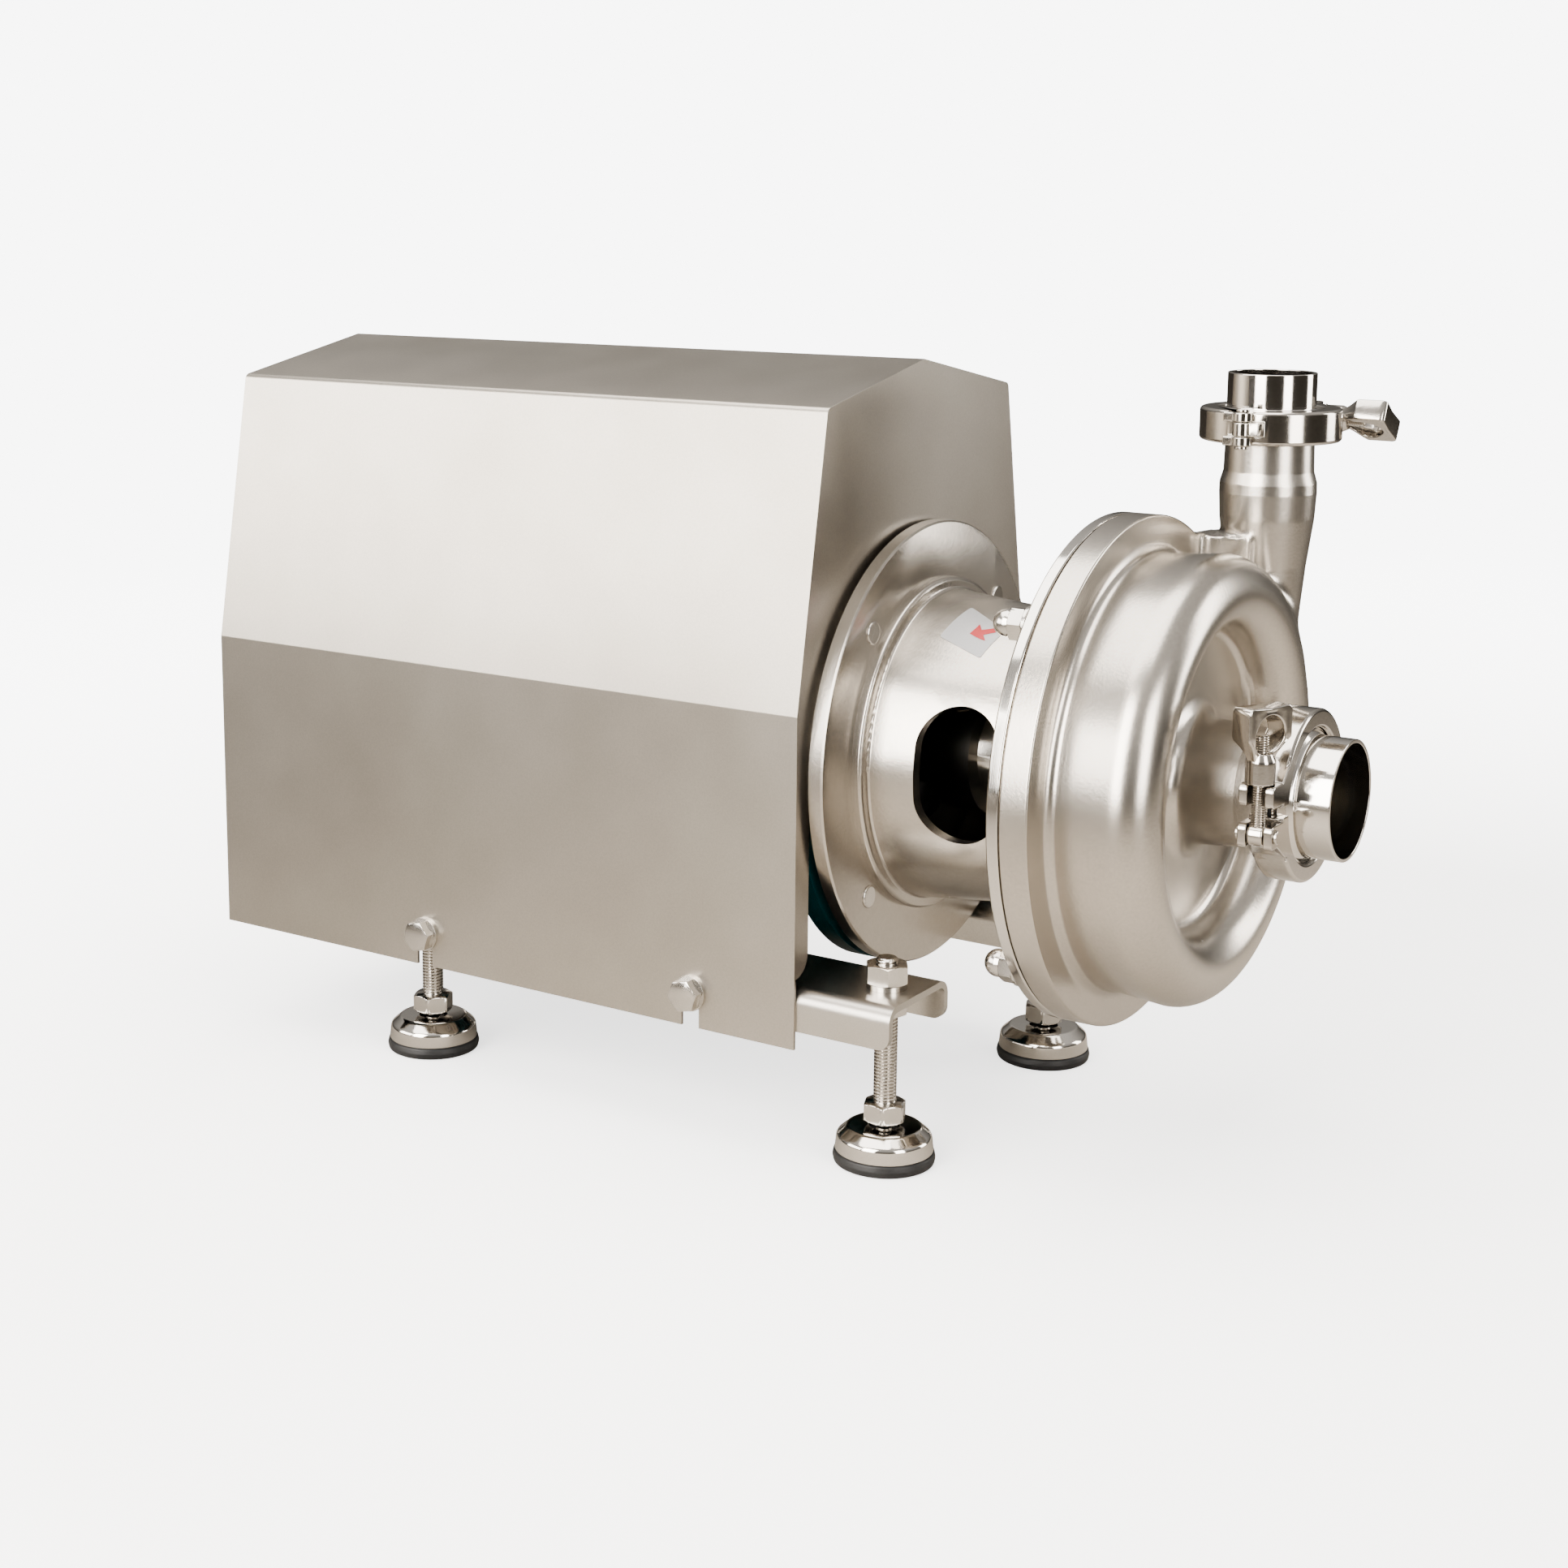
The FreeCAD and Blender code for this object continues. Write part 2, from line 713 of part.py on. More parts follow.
def terminal_box():
    half = terminal_box_size / 2
    centre = terminal_box_x()
    low = motor_body_radius + 7
    top = low + terminal_box_height
    lid = 8.0
    tub = box(centre - half, centre + half, -half, half, low, top - lid)
    tub = tub.cut(box(centre - half + 4, centre + half - 4, -half + 4, half - 4, low + 4, top - lid + 1))
    gland_x, gland_z = gland_place()
    tub = tub.cut(rod(10.0, (gland_x, -half - 1, gland_z), 8, axis_y))
    cover_plate = box(centre - half - 1, centre + half + 1, -half - 1, half + 1, top - lid, top)
    upright = [e for e in cover_plate.Edges if abs(e.Vertexes[0].Point.z - e.Vertexes[-1].Point.z) > 1]
    return group([tub, cover_plate.makeFillet(6.0, upright)])


def gland_place():
    return terminal_box_x(), motor_body_radius + 7 + 22


def cable_gland():
    half = terminal_box_size / 2
    x, z = gland_place()
    body = rod(10.0, (x, -half + 8, z), 9, V(0, -1, 0))
    body = body.fuse(hexagon(24.0, (x, -half, z), 8, V(0, -1, 0)))
    body = body.fuse(Part.makeCone(11.0, 8.0, 12, V(x, -half - 8, z), V(0, -1, 0)))
    return body.cut(rod(5.0, (x, -half + 9, z), 31, V(0, -1, 0)))


# Adapter

def adapter():
    # a flanged cone frustum, hollow, with a window on each side and a ring in front that bolts to the back plate
    edge = 2.0
    foot = 1.5
    bead_x = adapter_x + adapter_bead_width
    root = adapter_root_radius
    spigot = motor_spigot_radius + fit_clearance
    body = turned(
        (motor_x, spigot), (motor_x, adapter_pad_radius), (flange_rear_x, adapter_pad_radius),
        (flange_rear_x, adapter_flange_radius), (adapter_x - 0.8, adapter_flange_radius),
        (adapter_x, adapter_flange_radius - 0.8), (adapter_x, adapter_bead_radius),
        (bead_x - edge, adapter_bead_radius),
        (round_mid((bead_x - edge, adapter_bead_radius - edge), edge, 45), (bead_x, adapter_bead_radius - edge)),
        (bead_x, root + foot), (round_mid((bead_x + foot, root + foot), foot, 225), (bead_x + foot, root)),
        (nose_x, adapter_nose_radius), (nose_x, adapter_bore_radius), (nose_x - adapter_front_wall, adapter_bore_radius),
        (nose_x - adapter_front_wall, adapter_nose_radius - adapter_wall),
        (bead_x, root - adapter_wall), (motor_x + motor_spigot_length + 1, root - adapter_wall),
        (motor_x + motor_spigot_length + 1, spigot))
    body = body.cut(window())
    for y, z in motor_bolt_places():
        body = body.cut(rod(motor_bolt_radius, (motor_x - 1, y, z), 30))
    for angle in around(4, 45.0):
        y, z = on_circle(plate_screw_circle(), angle)
        body = body.cut(rod(plate_screw_radius + 0.3, (nose_x - adapter_front_wall - 1, y, z), adapter_front_wall + 2))
    return body


def window():
    # a tall round-ended slot through both sides
    r = window_width / 2
    reach = window_height / 2 - r
    x = adapter_x + window_x
    long = 2 * adapter_flange_radius
    slot = box(x - r, x + r, -long / 2, long / 2, window_rise - reach, window_rise + reach)
    for z in (window_rise - reach, window_rise + reach):
        slot = slot.fuse(rod(r, (x, -long / 2, z), long, axis_y))
    return slot


def motor_bolt_places():
    return [on_circle(motor_bolt_circle_radius, a) for a in around(4, 45.0)]


def adapter_bolts():
    # the bolts come from behind the motor flange, and their ends finish flush with the adapter's face
    pieces = []
    for y, z in motor_bolt_places():
        shank = rod(motor_bolt_radius, (motor_flange_back_x, y, z), adapter_x - motor_flange_back_x)
        head = hexagon(17.0, (motor_flange_back_x, y, z), 6.4, V(-1, 0, 0))
        pieces.append(shank.fuse(head).removeSplitter())
    return group(pieces)


def plate_screw_circle():
    return (adapter_bore_radius + adapter_nose_radius - adapter_wall) / 2


def back_plate_screws():
    pieces = []
    for angle in around(4, 45.0):
        y, z = on_circle(plate_screw_circle(), angle)
        back = nose_x - adapter_front_wall
        head = hexagon(plate_screw_flats, (back, y, z), plate_screw_head, V(-1, 0, 0))
        shank = rod(plate_screw_radius, (back, y, z), adapter_front_wall + plate_pad_thickness)
        pieces.append(head.fuse(shank).removeSplitter())
    return group(pieces)


# Back plate, studs, seal

def back_plate():
    plate = turned(
        (casing_back_x, seal_bore_radius), (casing_back_x, casing_flange_radius - 0.6),
        (casing_back_x - 0.6, casing_flange_radius), (plate_back_x + 0.8, casing_flange_radius),
        (plate_back_x, casing_flange_radius - 0.8), (plate_back_x, adapter_nose_radius - 2), (nose_x, adapter_nose_radius - 4),
        (nose_x, 17.0), (seal_back_x, 17.0), (seal_back_x, seal_bore_radius))
    for y, z in stud_places():
        plate = plate.cut(rod(stud_radius + 0.4, (plate_back_x - 1, y, z), plate_thickness + 2))
    for angle in around(4, 45.0):
        y, z = on_circle(plate_screw_circle(), angle)
        plate = plate.cut(rod(plate_screw_radius, (nose_x - 1, y, z), plate_pad_thickness + 1))
    return plate


def stud_places():
    return [on_circle(stud_circle_radius, a) for a in around(stud_count, 45.0)]


def casing_studs():
    length = casing_flange_thickness - 3 + plate_thickness + stud_tail
    return group([rod(stud_radius, (plate_back_x - stud_tail, y, z), length) for y, z in stud_places()])


def dome_nuts():
    # a plain washer and an acorn nut on each stud, behind the plate
    pieces = []
    seat = plate_back_x - stud_washer_thickness
    for y, z in stud_places():
        washer = rod(stud_washer_radius, (seat, y, z), stud_washer_thickness)
        hexed = hexagon(dome_nut_flats, (seat, y, z), dome_nut_height, V(-1, 0, 0))
        ball = Part.makeSphere(dome_radius, V(seat - dome_rise, y, z))
        dome = rod(dome_radius, (seat - dome_rise, y, z), dome_rise - dome_nut_height + 1).fuse(ball)
        nut = fuse_all([hexed, dome])
        hole = rod(stud_radius, (plate_back_x - stud_tail, y, z), stud_tail)
        pieces += [washer.cut(hole), nut.cut(hole)]
    return group(pieces)


def casing_gasket():
    inner, outer = gasket_radii()
    return pipe_x(outer, inner, casing_back_x, casing_back_x + 2.2)


def gasket_radii():
    inner = body_root_radius - casing_wall + 1.5
    return inner, stud_circle_radius - stud_radius - 2.2


def seal_seat():
    return pipe_x(seal_bore_radius, pump_shaft_radius + 1, seal_back_x, seal_back_x + seal_seat_length)


def seal_ring():
    x0 = seal_back_x + seal_seat_length + fit_clearance
    return pipe_x(seal_bore_radius - 1.5, pump_shaft_radius + running_clearance, x0, x0 + seal_ring_length)


def seal_ring_front():
    return seal_back_x + seal_seat_length + fit_clearance + seal_ring_length


def seal_spring():
    # a wave spring stack, drawn as spaced rings joined by a sleeve
    x0 = seal_ring_front()
    rings = [pipe_x(17.0, 14.4, x0 + k * 2.2, x0 + k * 2.2 + 1.2) for k in range(3)]
    sleeve = pipe_x(15.4, 14.4, x0, x0 + seal_spring_length)
    return fuse_all([sleeve] + rings)


# Rotor

def impeller_back_x():
    return seal_ring_front() + seal_spring_length


def vane_height():
    # the vanes run close to the casing's dished front
    return floor_inside_x - vane_gap - impeller_back_x() - impeller_plate


def motor_shaft():
    front = motor_x + motor_shaft_length
    x1, x2 = bearing_stations()
    shaft = rod(motor_shaft_radius, (motor_x - 1, 0, 0), front - motor_x + 1)
    seats = rod(bearing_bore_radius, (x2, 0, 0), motor_x - 1 - x2)
    core_seat = rod(16.0, (stator_span()[0] - 6, 0, 0), rotor_core_length + 12)
    tail_x = motor_rear_x - 22 - fan_length
    tail = rod(11.0, (tail_x, 0, 0), x2 - tail_x + 1)
    shaft = fuse_all([shaft, seats, core_seat, tail])
    return shaft.cut(box(front - 36, front - 4, -4.0, 4.0, motor_shaft_radius - 4, motor_shaft_radius + 2))


def rotor_core():
    x0, x1 = stator_span()
    return pipe_x(rotor_core_radius, 16.0, x0, x1)


def pump_shaft():
    # a hollow hub that slips over the motor shaft and is split where the collar grips it
    hub_x0 = motor_x + 6
    hub_x1 = motor_x + motor_shaft_length + 6
    front = impeller_back_x() + impeller_plate + 16
    shaft = turned(
        (hub_x0, 0.0), (hub_x0, pump_shaft_hub_radius), (hub_x1, pump_shaft_hub_radius), (hub_x1 + 4, pump_shaft_radius + 2),
        (impeller_back_x(), pump_shaft_radius), (impeller_back_x(), 8.0), (front, 8.0), (front, 0.0))
    shaft = shaft.fuse(rod(pump_shaft_radius, (hub_x1, 0, 0), impeller_back_x() - hub_x1))
    slim = turned((hub_x1 + 4, pump_shaft_radius), (hub_x1 + 4, 30.0), (impeller_back_x() + 1, 30.0), (impeller_back_x() + 1, pump_shaft_radius))
    shaft = shaft.cut(slim)
    shaft = shaft.cut(rod(motor_shaft_radius, (hub_x0 - 1, 0, 0), motor_shaft_length - 5))
    split = hub_x1 - 18
    shaft = shaft.cut(box(hub_x0 - 1, split, -30, 30, -0.8, 0.8))
    return shaft


def collar_x():
    return motor_x + motor_shaft_length + 6 - 14 - collar_width


def shaft_collar():
    # a split ring with a gap at the top, closed by two screws
    x0 = collar_x()
    ring = pipe_x(collar_radius, pump_shaft_hub_radius, x0, x0 + collar_width)
    ring = ring.cut(box(x0 - 1, x0 + collar_width + 1, -1.0, 1.0, 0, collar_radius + 1))
    for x in collar_screw_stations():
        ring = ring.cut(box(x - 4.8, x + 4.8, -30, -9, 19.6, 30))
        ring = ring.cut(rod(2.5, (x, -12, 23.4), 24, axis_y))
    return ring


def collar_screw_stations():
    return [collar_x() + collar_width / 4, collar_x() + 3 * collar_width / 4]


def collar_screws():
    pieces = []
    for x in collar_screw_stations():
        shank = rod(2.5, (x, -9, 23.4), 18, axis_y)
        head = rod(3.8, (x, -14, 23.4), 5, axis_y)
        pieces.append(shank.fuse(head).removeSplitter())
    return group(pieces)


def impeller():
    # a back disc with backward-curved vanes of constant thickness, thinned at the rim
    x0 = impeller_back_x()
    x1 = x0 + impeller_plate
    disc = rod(impeller_radius, (x0, 0, 0), impeller_plate)
    hub = Part.makeCone(impeller_hub_radius + 4, impeller_hub_radius - 4, 12, V(x1, 0, 0), axis_x)
    height = vane_height()
    vanes = []
    inner = impeller_hub_radius + 8
    for angle in around(vane_count):
        vane = vane_plate(inner, impeller_radius + 3, x1 - 0.5, height + 0.5)
        vane.rotate(V(0, 0, 0), axis_x, angle)
        vanes.append(vane.common(rod(impeller_radius, (x1 - 1, 0, 0), height + 1)))
    wheel = fuse_all([disc, hub] + vanes)
    return wheel.cut(rod(8.0, (x0 - 1, 0, 0), impeller_plate + height + 2))


def vane_plate(r0, r1, x0, height):
    # one vane between two arcs that leave the eye steeply and reach the rim swept back
    def spot(r, sweep_deg, shift):
        a = math.radians(-sweep_deg)
        return V(x0, (r + shift) * math.cos(a), (r + shift) * math.sin(a))

    half = vane_thickness / 2
    mid_r = (r0 + r1) / 2
    outer = Part.Arc(spot(r0, 0, half), spot(mid_r, 0.38 * vane_sweep_deg, half), spot(r1, vane_sweep_deg, half))
    inner = Part.Arc(spot(r1, vane_sweep_deg, -half), spot(mid_r, 0.38 * vane_sweep_deg, -half), spot(r0, 0, -half))
    a, b = outer.toShape(), inner.toShape()
    ends = [
        Part.LineSegment(spot(r1, vane_sweep_deg, half), spot(r1, vane_sweep_deg, -half)).toShape(),
        Part.LineSegment(spot(r0, 0, -half), spot(r0, 0, half)).toShape()]
    return Part.Face(Part.Wire([a, ends[0], b, ends[1]])).extrude(V(height, 0, 0))


def impeller_nut():
    x0 = impeller_back_x() + impeller_plate + 12
    r = impeller_nut_radius
    length = impeller_nut_length
    nut = turned((x0, 8.0), (x0, r), (x0 + length / 2, r), (round_mid((x0 + length / 2, 0.0), r, 45), (x0 + length / 2 + r, 0.0)),
                 (x0 + 5, 0.0), (x0 + 5, 8.0))
    return nut


# Casing

def casing():
    # the bowl: its flanged wall, its dished front and the web beside the riser, welded to each other
    bowl = casing_outside().cut(neck_blank()).cut(casing_inside()).cut(riser_tube()).cut(riser_inside())
    behind = pipe_x(2 * casing_flange_radius, crown_centre_radius, casing_back_x - 1, crown_x)
    front = bowl.cut(behind)
    body = bowl.common(behind)
    side_web = web().cut(casing_outside()).cut(riser_outside())
    inner, outer = gasket_radii()
    body = body.cut(pipe_x(outer, inner, casing_back_x - 1, casing_back_x + 2.2))
    for y, z in stud_places():
        body = body.cut(rod(stud_radius, (casing_back_x - 1, y, z), casing_flange_thickness - 2))
    return group([body, front, side_web])


def neck_blank():
    return rod(inlet_rim_od, (mouth_x - neck_length, 0, 0), neck_length + 1)


def inlet_neck():
    # the straight tube with its ferrule, welded to the bowl's hub
    return casing_outside().common(neck_blank()).cut(casing_inside())


def outlet_riser():
    # a tapered foot welded into the bowl's side, and on top of it the tube with its swage and ferrule
    tube = riser_tube()
    low = rod(2 * outlet_rim_od, (riser_x, riser_y, 0), web_top, axis_z)
    return group([tube.common(low), tube.cut(low)])


def riser_tube():
    tube = riser_outside().cut(casing_inside()).cut(riser_inside())
    return max(tube.Solids, key=lambda piece: piece.Volume)


def casing_outside():
    # flange, straight wall, round crown, dished front, neck and ferrule in one turned outline
    rim = inlet_rim_od / 2
    tube = inlet_tube_od / 2
    taper = math.tan(math.radians(rim_taper_deg))
    lip = tube + 2
    f = root_fillet
    wall_r = body_root_radius
    crown = (crown_x, crown_centre_radius)
    inner_r = crown_centre_radius - crown_round
    g = 4.0
    h = hub_fillet
    neck_x = floor_x + h
    return turned(
        (casing_back_x, 10.0), (casing_back_x, casing_flange_radius - 2.5), (casing_back_x + 0.7, casing_flange_radius - 2.5),
        (casing_back_x + 0.7, casing_flange_radius), (casing_front_x - 1, casing_flange_radius),
        (casing_front_x, casing_flange_radius - 1), (casing_front_x, wall_r + f),
        (round_mid((casing_front_x + f, wall_r + f), f, 225), (casing_front_x + f, wall_r)),
        (crown_x, crown_centre_radius + crown_round),
        (round_mid(crown, crown_round, 45), (crown_x + crown_round, crown_centre_radius)),
        (round_mid(crown, crown_round, -45), (crown_x, inner_r)),
        (floor_x + g, inner_r), (round_mid((floor_x + g, inner_r - g), g, 135), (floor_x, inner_r - g)),
        (floor_x, hub_radius + h), (round_mid((neck_x, hub_radius + h), h, 225), (neck_x, hub_radius)),
        (neck_x + 12, tube + 0.6), (mouth_x - 14, tube), (mouth_x - 4.4 - (rim - lip) * taper, tube),
        (mouth_x - rim_thickness - (rim - lip) * taper, lip), (mouth_x - rim_thickness, rim), (mouth_x, rim), (mouth_x, 10.0))


def casing_inside():
    w = casing_wall
    bore = inlet_tube_od / 2 - tube_wall
    r = crown_round - w
    crown = (crown_x, crown_centre_radius)
    inner_r = crown_centre_radius - r
    x_in = floor_inside_x
    lip = 4.0
    return turned(
        (casing_back_x - 1, 0.0), (casing_back_x - 1, body_root_radius - w), (crown_x, crown_centre_radius + r),
        (round_mid(crown, r, 45), (crown_x + r, crown_centre_radius)),
        (round_mid(crown, r, -45), (crown_x, inner_r)),
        (x_in + 3, inner_r), (round_mid((x_in + 3, inner_r - 3), 3, 135), (x_in, inner_r - 3)),
        (x_in, bore + lip), (round_mid((x_in + lip, bore + lip), lip, 225), (x_in + lip, bore)),
        (mouth_x + 1, bore), (mouth_x + 1, 0.0))


def riser_profile(inset):
    # radius of the riser at each height, from its foot in the volute up to the ferrule
    return [
        (riser_foot_rise, riser_foot_radius - inset), (riser_throat_rise, riser_throat_radius - inset),
        (riser_flare_rise, riser_flare_radius - inset), (swage_rise - 2, riser_swage_radius - inset),
        (swage_rise + 2, riser_swage_radius - inset),
        (swage_rise + swage_height, riser_top_radius - inset), (riser_mouth_z - 9, riser_top_radius - 0.3 - inset)]


def riser_turned(points):
    wire = Part.makePolygon([V(r, 0, z) for z, r in points] + [V(points[0][1], 0, points[0][0])])
    solid = Part.Face(wire).revolve(V(0, 0, 0), axis_z, 360)
    solid.translate(V(riser_x, riser_y, 0))
    return solid


def riser_outside():
    rim = outlet_rim_od / 2
    tube = outlet_tube_od / 2
    taper = math.tan(math.radians(rim_taper_deg))
    lip = tube + 2
    outline = riser_profile(0.0) + [
        (riser_mouth_z - 4.4 - (rim - lip) * taper, tube), (riser_mouth_z - rim_thickness - (rim - lip) * taper, lip),
        (riser_mouth_z - rim_thickness, rim), (riser_mouth_z, rim), (riser_mouth_z, 0.0), (riser_foot_rise, 0.0)]
    riser = riser_turned(outline)
    base = Part.makeSphere(riser_foot_radius, V(riser_x, riser_y, riser_foot_rise))
    return riser.fuse(base).removeSplitter()


def web():
    # a flat-topped web from the flange's face to the riser, tangent to the riser's inner side
    inner_y = riser_y - riser_swage_radius + web_inner_gap
    return box(casing_front_x - 3, riser_x, inner_y, riser_y, 10.0, web_top)


def riser_inside():
    bore = outlet_tube_od / 2 - tube_wall
    points = riser_profile(tube_wall)[:4]
    points += [(swage_rise + swage_height, bore), (riser_mouth_z + 1, bore), (riser_mouth_z + 1, 0.0), (riser_foot_rise, 0.0)]
    passage = riser_turned(points)
    return passage.fuse(Part.makeSphere(points[0][1], V(riser_x, riser_y, riser_foot_rise)))


# Ferrules, gaskets and clamps, drawn in the clamp's own frame:
# +Z out of the port, +Y towards the swing bolt, +X along the bolt towards its nut

def to_inlet(shape):
    # the inlet clamp: its axis on +X, its bolt on the -Y side and pointing up
    turn = FreeCAD.Matrix(
        0, 0, 1, inlet_plane_x,
        0, -1, 0, 0,
        1, 0, 0, 0,
        0, 0, 0, 1)
    return moved(shape, turn)


def to_outlet(shape):
    turn = FreeCAD.Matrix(
        1, 0, 0, riser_x,
        0, 1, 0, riser_y,
        0, 0, 1, outlet_plane_z,
        0, 0, 0, 1)
    return moved(shape, turn)


def moved(shape, matrix):
    copy = shape.copy()
    copy.Placement = FreeCAD.Placement(matrix).multiply(copy.Placement)
    return copy


def spun(points):
    # (z, radius) points carried round the port axis
    wire = Part.makePolygon([V(r, 0, z) for z, r in points + points[:1]])
    return Part.Face(wire).revolve(V(0, 0, 0), axis_z, 360)


def ferrule(tube_od, rim_od):
    rim = rim_od / 2
    tube = tube_od / 2
    bore = tube - tube_wall
    lip = tube + 2
    taper = math.tan(math.radians(rim_taper_deg))
    z0 = gasket_thickness / 2
    back = z0 + rim_thickness + (rim - lip) * taper
    return spun([
        (z0, bore), (z0, rim), (z0 + rim_thickness, rim), (back, lip), (back + 2.2, tube), (z0 + ferrule_length, tube),
        (z0 + ferrule_length, bore)])


def gasket(tube_od, rim_od):
    half = gasket_thickness / 2
    return spun([(-half, tube_od / 2 - tube_wall), (-half, rim_od / 2 - 1), (half, rim_od / 2 - 1), (half, tube_od / 2 - tube_wall)])


def clamp_ring(tube_od, rim_od, ring_od, slack):
    # the full ring with its tapered groove, before it is split
    rim = rim_od / 2
    lip = tube_od / 2 + ring_lip
    outer = ring_od / 2
    half = ring_width / 2
    taper = math.tan(math.radians(rim_taper_deg))
    seat = gasket_thickness / 2 + rim_thickness + slack
    floor = rim + 0.5
    edge = 1.0
    upper = [(seat - 0.5 * taper, floor), (seat + (rim - lip) * taper, lip), (half, lip + edge), (half, outer - edge), (half - edge, outer)]
    return spun(upper + [(-z, r) for z, r in reversed(upper)])


def bolt_line(ring_od):
    return ring_od / 2 + bolt_offset


def hinge_line(ring_od):
    return ring_od / 2 + hinge_offset


def lug(x0, x1, ring_od, slope_x, slope_y):
    # a rounded block that stands out of the ring beside the bolt, slotted into two ears, with a sloping root
    half = ring_width / 2
    y0 = ring_od / 2 - 5.5
    y1 = bolt_line(ring_od) + ear_reach
    block = box(x0, x1, y0, y1, -half, half)
    outer = [e for e in block.Edges if abs(e.Vertexes[0].Point.z - e.Vertexes[-1].Point.z) > 1 and e.Vertexes[0].Point.y > y1 - 1]
    block = block.makeFillet(ear_round, outer)
    far = x0 if slope_x < x0 else x1
    corners = [(far, slope_y), (slope_x, math.sqrt(ring_od ** 2 / 4 - slope_x ** 2) - 0.6), (far, y0)]
    wire = Part.makePolygon([V(px, py, -half) for px, py in corners + corners[:1]])
    block = fuse_all([block, Part.Face(wire).extrude(V(0, 0, ring_width))])
    gap = half - ear_thickness
    return block.cut(box(x0 - 1, x1 + 1, ring_od / 2 + 1.5, y1 + 1, -gap, gap))


def clamp_fixed_half(tube_od, rim_od, ring_od):
    # the half on the eye pin's side, with two outer hinge knuckles
    half = ring_width / 2
    hinge = -hinge_line(ring_od)
    body = clamp_ring(tube_od, rim_od, ring_od, fit_clearance)
    body = body.common(box(-ring_od, -clamp_split, -ring_od, ring_od, -half, half))
    y_bolt = bolt_line(ring_od)
    x1 = -clamp_split - 1.3
    x0 = x1 - fixed_ear_height
    body = body.fuse(lug(x0, x1, ring_od, x0 - ear_slope_run, y_bolt - 3.0)).removeSplitter()
    gap = knuckle_half + 0.2
    for z0, z1 in ((gap, half), (-half, -gap)):
        arm = box(-8.0, 0, hinge - 2.2, hinge + 4.6, z0, z1).fuse(rod(knuckle_radius, (0, hinge, z0), z1 - z0, axis_z))
        body = body.fuse(arm)
    body = body.removeSplitter()
    body = body.cut(rod(knuckle_radius + 0.5, (0, hinge, -gap), 2 * gap, axis_z))
    body = body.cut(rod(clamp_pin_radius, (0, hinge, -half - 1), ring_width + 2, axis_z))
    body = body.cut(rod(clamp_pin_radius, (-bolt_pin_drop, y_bolt, -half - 1), ring_width + 2, axis_z))
    # keep the groove clear of the lugs and arms
    return body.cut(groove_blank(tube_od, rim_od, fit_clearance))


def groove_blank(tube_od, rim_od, slack):
    rim = rim_od / 2
    lip = tube_od / 2 + ring_lip
    taper = math.tan(math.radians(rim_taper_deg))
    seat = gasket_thickness / 2 + rim_thickness + slack
    half = ring_width / 2
    upper = [(seat - 0.5 * taper, rim + 0.5), (seat + (rim - lip) * taper, lip), (half + 1, lip)]
    return spun(upper + [(half + 1, 0.0), (-half - 1, 0.0)] + [(-z, r) for z, r in reversed(upper)])


def clamp_moving_half(tube_od, rim_od, ring_od, ear_height):
    # the half that swings open, with the fork that the nut pulls on and the middle knuckle
    half = ring_width / 2
    hinge = -hinge_line(ring_od)
    body = clamp_ring(tube_od, rim_od, ring_od, body_clearance)
    body = body.common(box(clamp_split, ring_od, -ring_od, ring_od, -half, half))
    x0 = clamp_split + ear_gap
    x1 = x0 + ear_height
    body = body.fuse(lug(x0, x1, ring_od, x1 + ear_slope_run, ring_od / 2 + 0.8)).removeSplitter()
    gap = knuckle_half
    for z0, z1 in ((gap, half + 1), (-half - 1, -gap)):
        body = body.cut(rod(knuckle_radius + 0.5, (0, hinge, z0), z1 - z0, axis_z))
    arm = box(0, 8.0, hinge - 2.2, hinge + 4.6, -gap, gap).fuse(rod(knuckle_radius, (0, hinge, -gap), 2 * gap, axis_z))
    body = body.fuse(arm).removeSplitter()
    body = body.cut(rod(clamp_pin_radius + running_clearance, (0, hinge, -half - 1), ring_width + 2, axis_z))
    return body.cut(groove_blank(tube_od, rim_od, body_clearance))


def nut_seat(ear_height):
    return clamp_split + ear_gap + ear_height + body_clearance


def clamp_pins(ring_od):
    # the hinge pin and the eye pin, each with two peened heads
    half = ring_width / 2
    pieces = []
    for x, y in ((0.0, -hinge_line(ring_od)), (-bolt_pin_drop, bolt_line(ring_od))):
        shaft = rod(clamp_pin_radius, (x, y, -half), ring_width, axis_z)
        top = rod(pin_head_radius, (x, y, half), pin_head_height, axis_z)
        low = rod(pin_head_radius, (x, y, -half - pin_head_height), pin_head_height, axis_z)
        pieces.append(fuse_all([shaft, top, low]))
    return group(pieces)


def swing_bolt(ring_od, ear_height):
    y = bolt_line(ring_od)
    end = nut_seat(ear_height) + bolt_past_seat
    thick = ring_width - 2 * ear_thickness - 2 * body_clearance
    eye = rod(eye_radius, (-bolt_pin_drop, y, -thick / 2), thick, axis_z)
    shank = rod(bolt_radius, (-bolt_pin_drop, y, 0), end + bolt_pin_drop)
    bore = rod(clamp_pin_radius + running_clearance, (-bolt_pin_drop, y, -thick), 2 * thick, axis_z)
    return fuse_all([eye, shank]).cut(bore)


